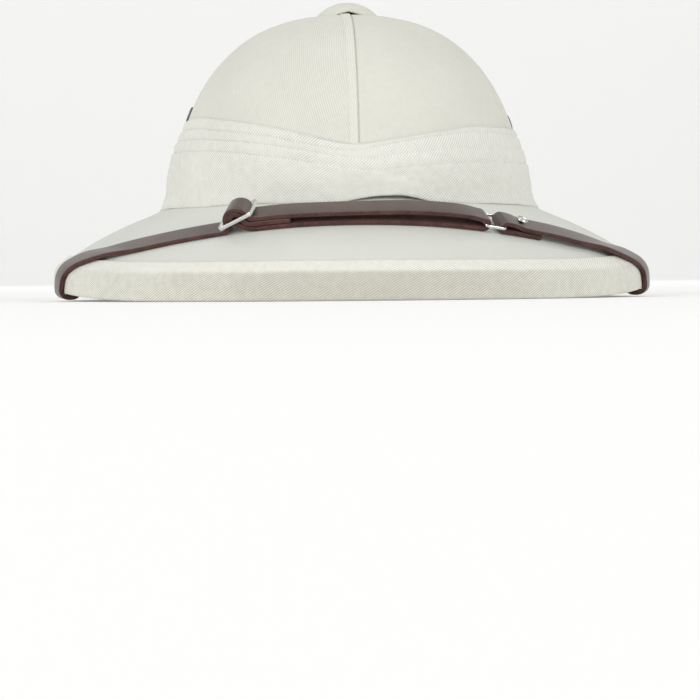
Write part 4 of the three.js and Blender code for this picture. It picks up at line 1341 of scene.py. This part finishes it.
# %% Slide, ring, stud and posts
def build_slide():
    length, across, end_bar, mid_bar = (SLIDE[key] for key in ("length", "across", "end_bar", "mid_bar"))
    right = [mid_bar / 2, length / 2 - end_bar, length / 2]
    columns = [-place for place in right[::-1]] + right
    side_bar = (across - STRAP["width"]) / 2 - 0.8
    rows = [-across / 2, -across / 2 + side_bar, across / 2 - side_bar, across / 2]
    bm = bmesh.new()
    bmesh.ops.create_grid(bm, x_segments=len(columns) - 1, y_segments=len(rows) - 1, size=1)
    share = grid_shares(bm)
    at_column = np.rint(share[:, 0] * (len(columns) - 1)).astype(int)
    at_row = np.rint(share[:, 1] * (len(rows) - 1)).astype(int)
    low = np.full(len(at_row), -SLIDE["thick"] / 2)
    move_verts(bm, np.stack([np.array(columns)[at_column], np.array(rows)[at_row], low], 1))
    windows = []
    for face in bm.faces:
        middle = face.calc_center_median()
        if abs(middle.y) < rows[2] and right[0] < abs(middle.x) < right[1]:
            windows.append(face)
    bmesh.ops.delete(bm, geom=windows, context="FACES")
    made = bmesh.ops.extrude_face_region(bm, geom=bm.faces[:])["geom"]
    verts = [item for item in made if isinstance(item, bmesh.types.BMVert)]
    bmesh.ops.translate(bm, verts=verts, vec=(0, 0, SLIDE["thick"]))
    bmesh.ops.recalc_face_normals(bm, faces=bm.faces)
    corners = [
        edge for edge in bm.edges
        if abs(edge.verts[0].co.z - edge.verts[1].co.z) > 1 and abs(edge.verts[0].co.x) > length / 2 - 0.1
        and abs(edge.verts[0].co.y) > across / 2 - 0.1
    ]
    bmesh.ops.bevel(
        bm, geom=corners, offset=1.5, offset_type="OFFSET", segments=5, profile=0.5, affect="EDGES",
        clamp_overlap=True, material=-1,
    )
    soften(bm, 0.16, segments=2, sharper_than=50)
    bmesh.ops.transform(bm, verts=bm.verts, matrix=lane_frame(PLACES["slide"], SLIDE_MIDDLE, SLIDE_TILT))
    store(bm, "strap_slide", ["slide_buckle"], [nickel])


def build_ring():
    corner, wire = RING["corner"], RING["wire"] / 2
    around = np.linspace(0, 2 * math.pi, 17)[:-1]
    flat, thick = RING["flat"]
    profile = [(corner + flat * wire * math.cos(a), thick * wire * math.sin(a)) for a in around]
    bm = spun_profile(profile, 64, loop=True)
    for vert in bm.verts:
        for axis, size in ((0, RING["length"]), (1, RING["across"])):
            value = vert.co[axis]
            pull = size / 2 - corner - wire
            vert.co[axis] = value + pull * max(-1.0, min(1.0, value / 0.3))
    left, right = FIRST + LONG_FOLD["radius"], FIRST + SHORT_FOLD["radius"]
    tilt = math.atan2(right - left, RING["length"])
    bmesh.ops.transform(bm, verts=bm.verts, matrix=lane_frame(PLACES["ring"], (left + right) / 2, tilt))
    store(bm, "strap_ring", ["link_ring"], [nickel])


def build_stud():
    head, dome, shank = STUD["head"], STUD["dome"], STUD["shank"]
    profile = [(0, -2 * LAYER), (shank, -2 * LAYER), (shank, 0), (head - 0.1, 0)]
    rim = 0.25
    rise = np.linspace(0, math.pi / 2, 12)
    profile += [(head * math.cos(a), rim + (dome - rim) * math.sin(a)) for a in rise]
    profile[-1] = (0, dome)
    bm = spun_profile(profile, 48)
    bmesh.ops.transform(bm, verts=bm.verts, matrix=lane_frame(PLACES["stud"], 2 * LAYER + STUD["lift"]))
    store(bm, "strap_rivet", ["strap_stud"], [nickel])


POST = {"head": 4, "head_thick": 1.4, "shank": 1.5, "depth": 2.4, "inset": 5}


def build_post(side):
    sign = -1 if side == "left" else 1
    under = -STRAP["thick"] - 3 * GAP
    head, shank = POST["head"], POST["shank"]
    profile = [
        (0, under - POST["head_thick"]), (head, under - POST["head_thick"] + 0.4), (head, under),
        (shank, under), (shank, POST["depth"]), (0, POST["depth"]),
    ]
    bm = spun_profile(profile, 32)
    soften(bm, 0.2)
    place = lane_frame(sign * (LANE_END - POST["inset"]), -GAP) @ Matrix.Rotation(math.pi, 4, "Y")
    bmesh.ops.transform(bm, verts=bm.verts, matrix=place)
    store(bm, f"strap_end_post_{side}", [f"strap_post_{side}"], [nickel])


build_slide()
build_ring()
build_stud()
for side in ("left", "right"):
    build_post(side)
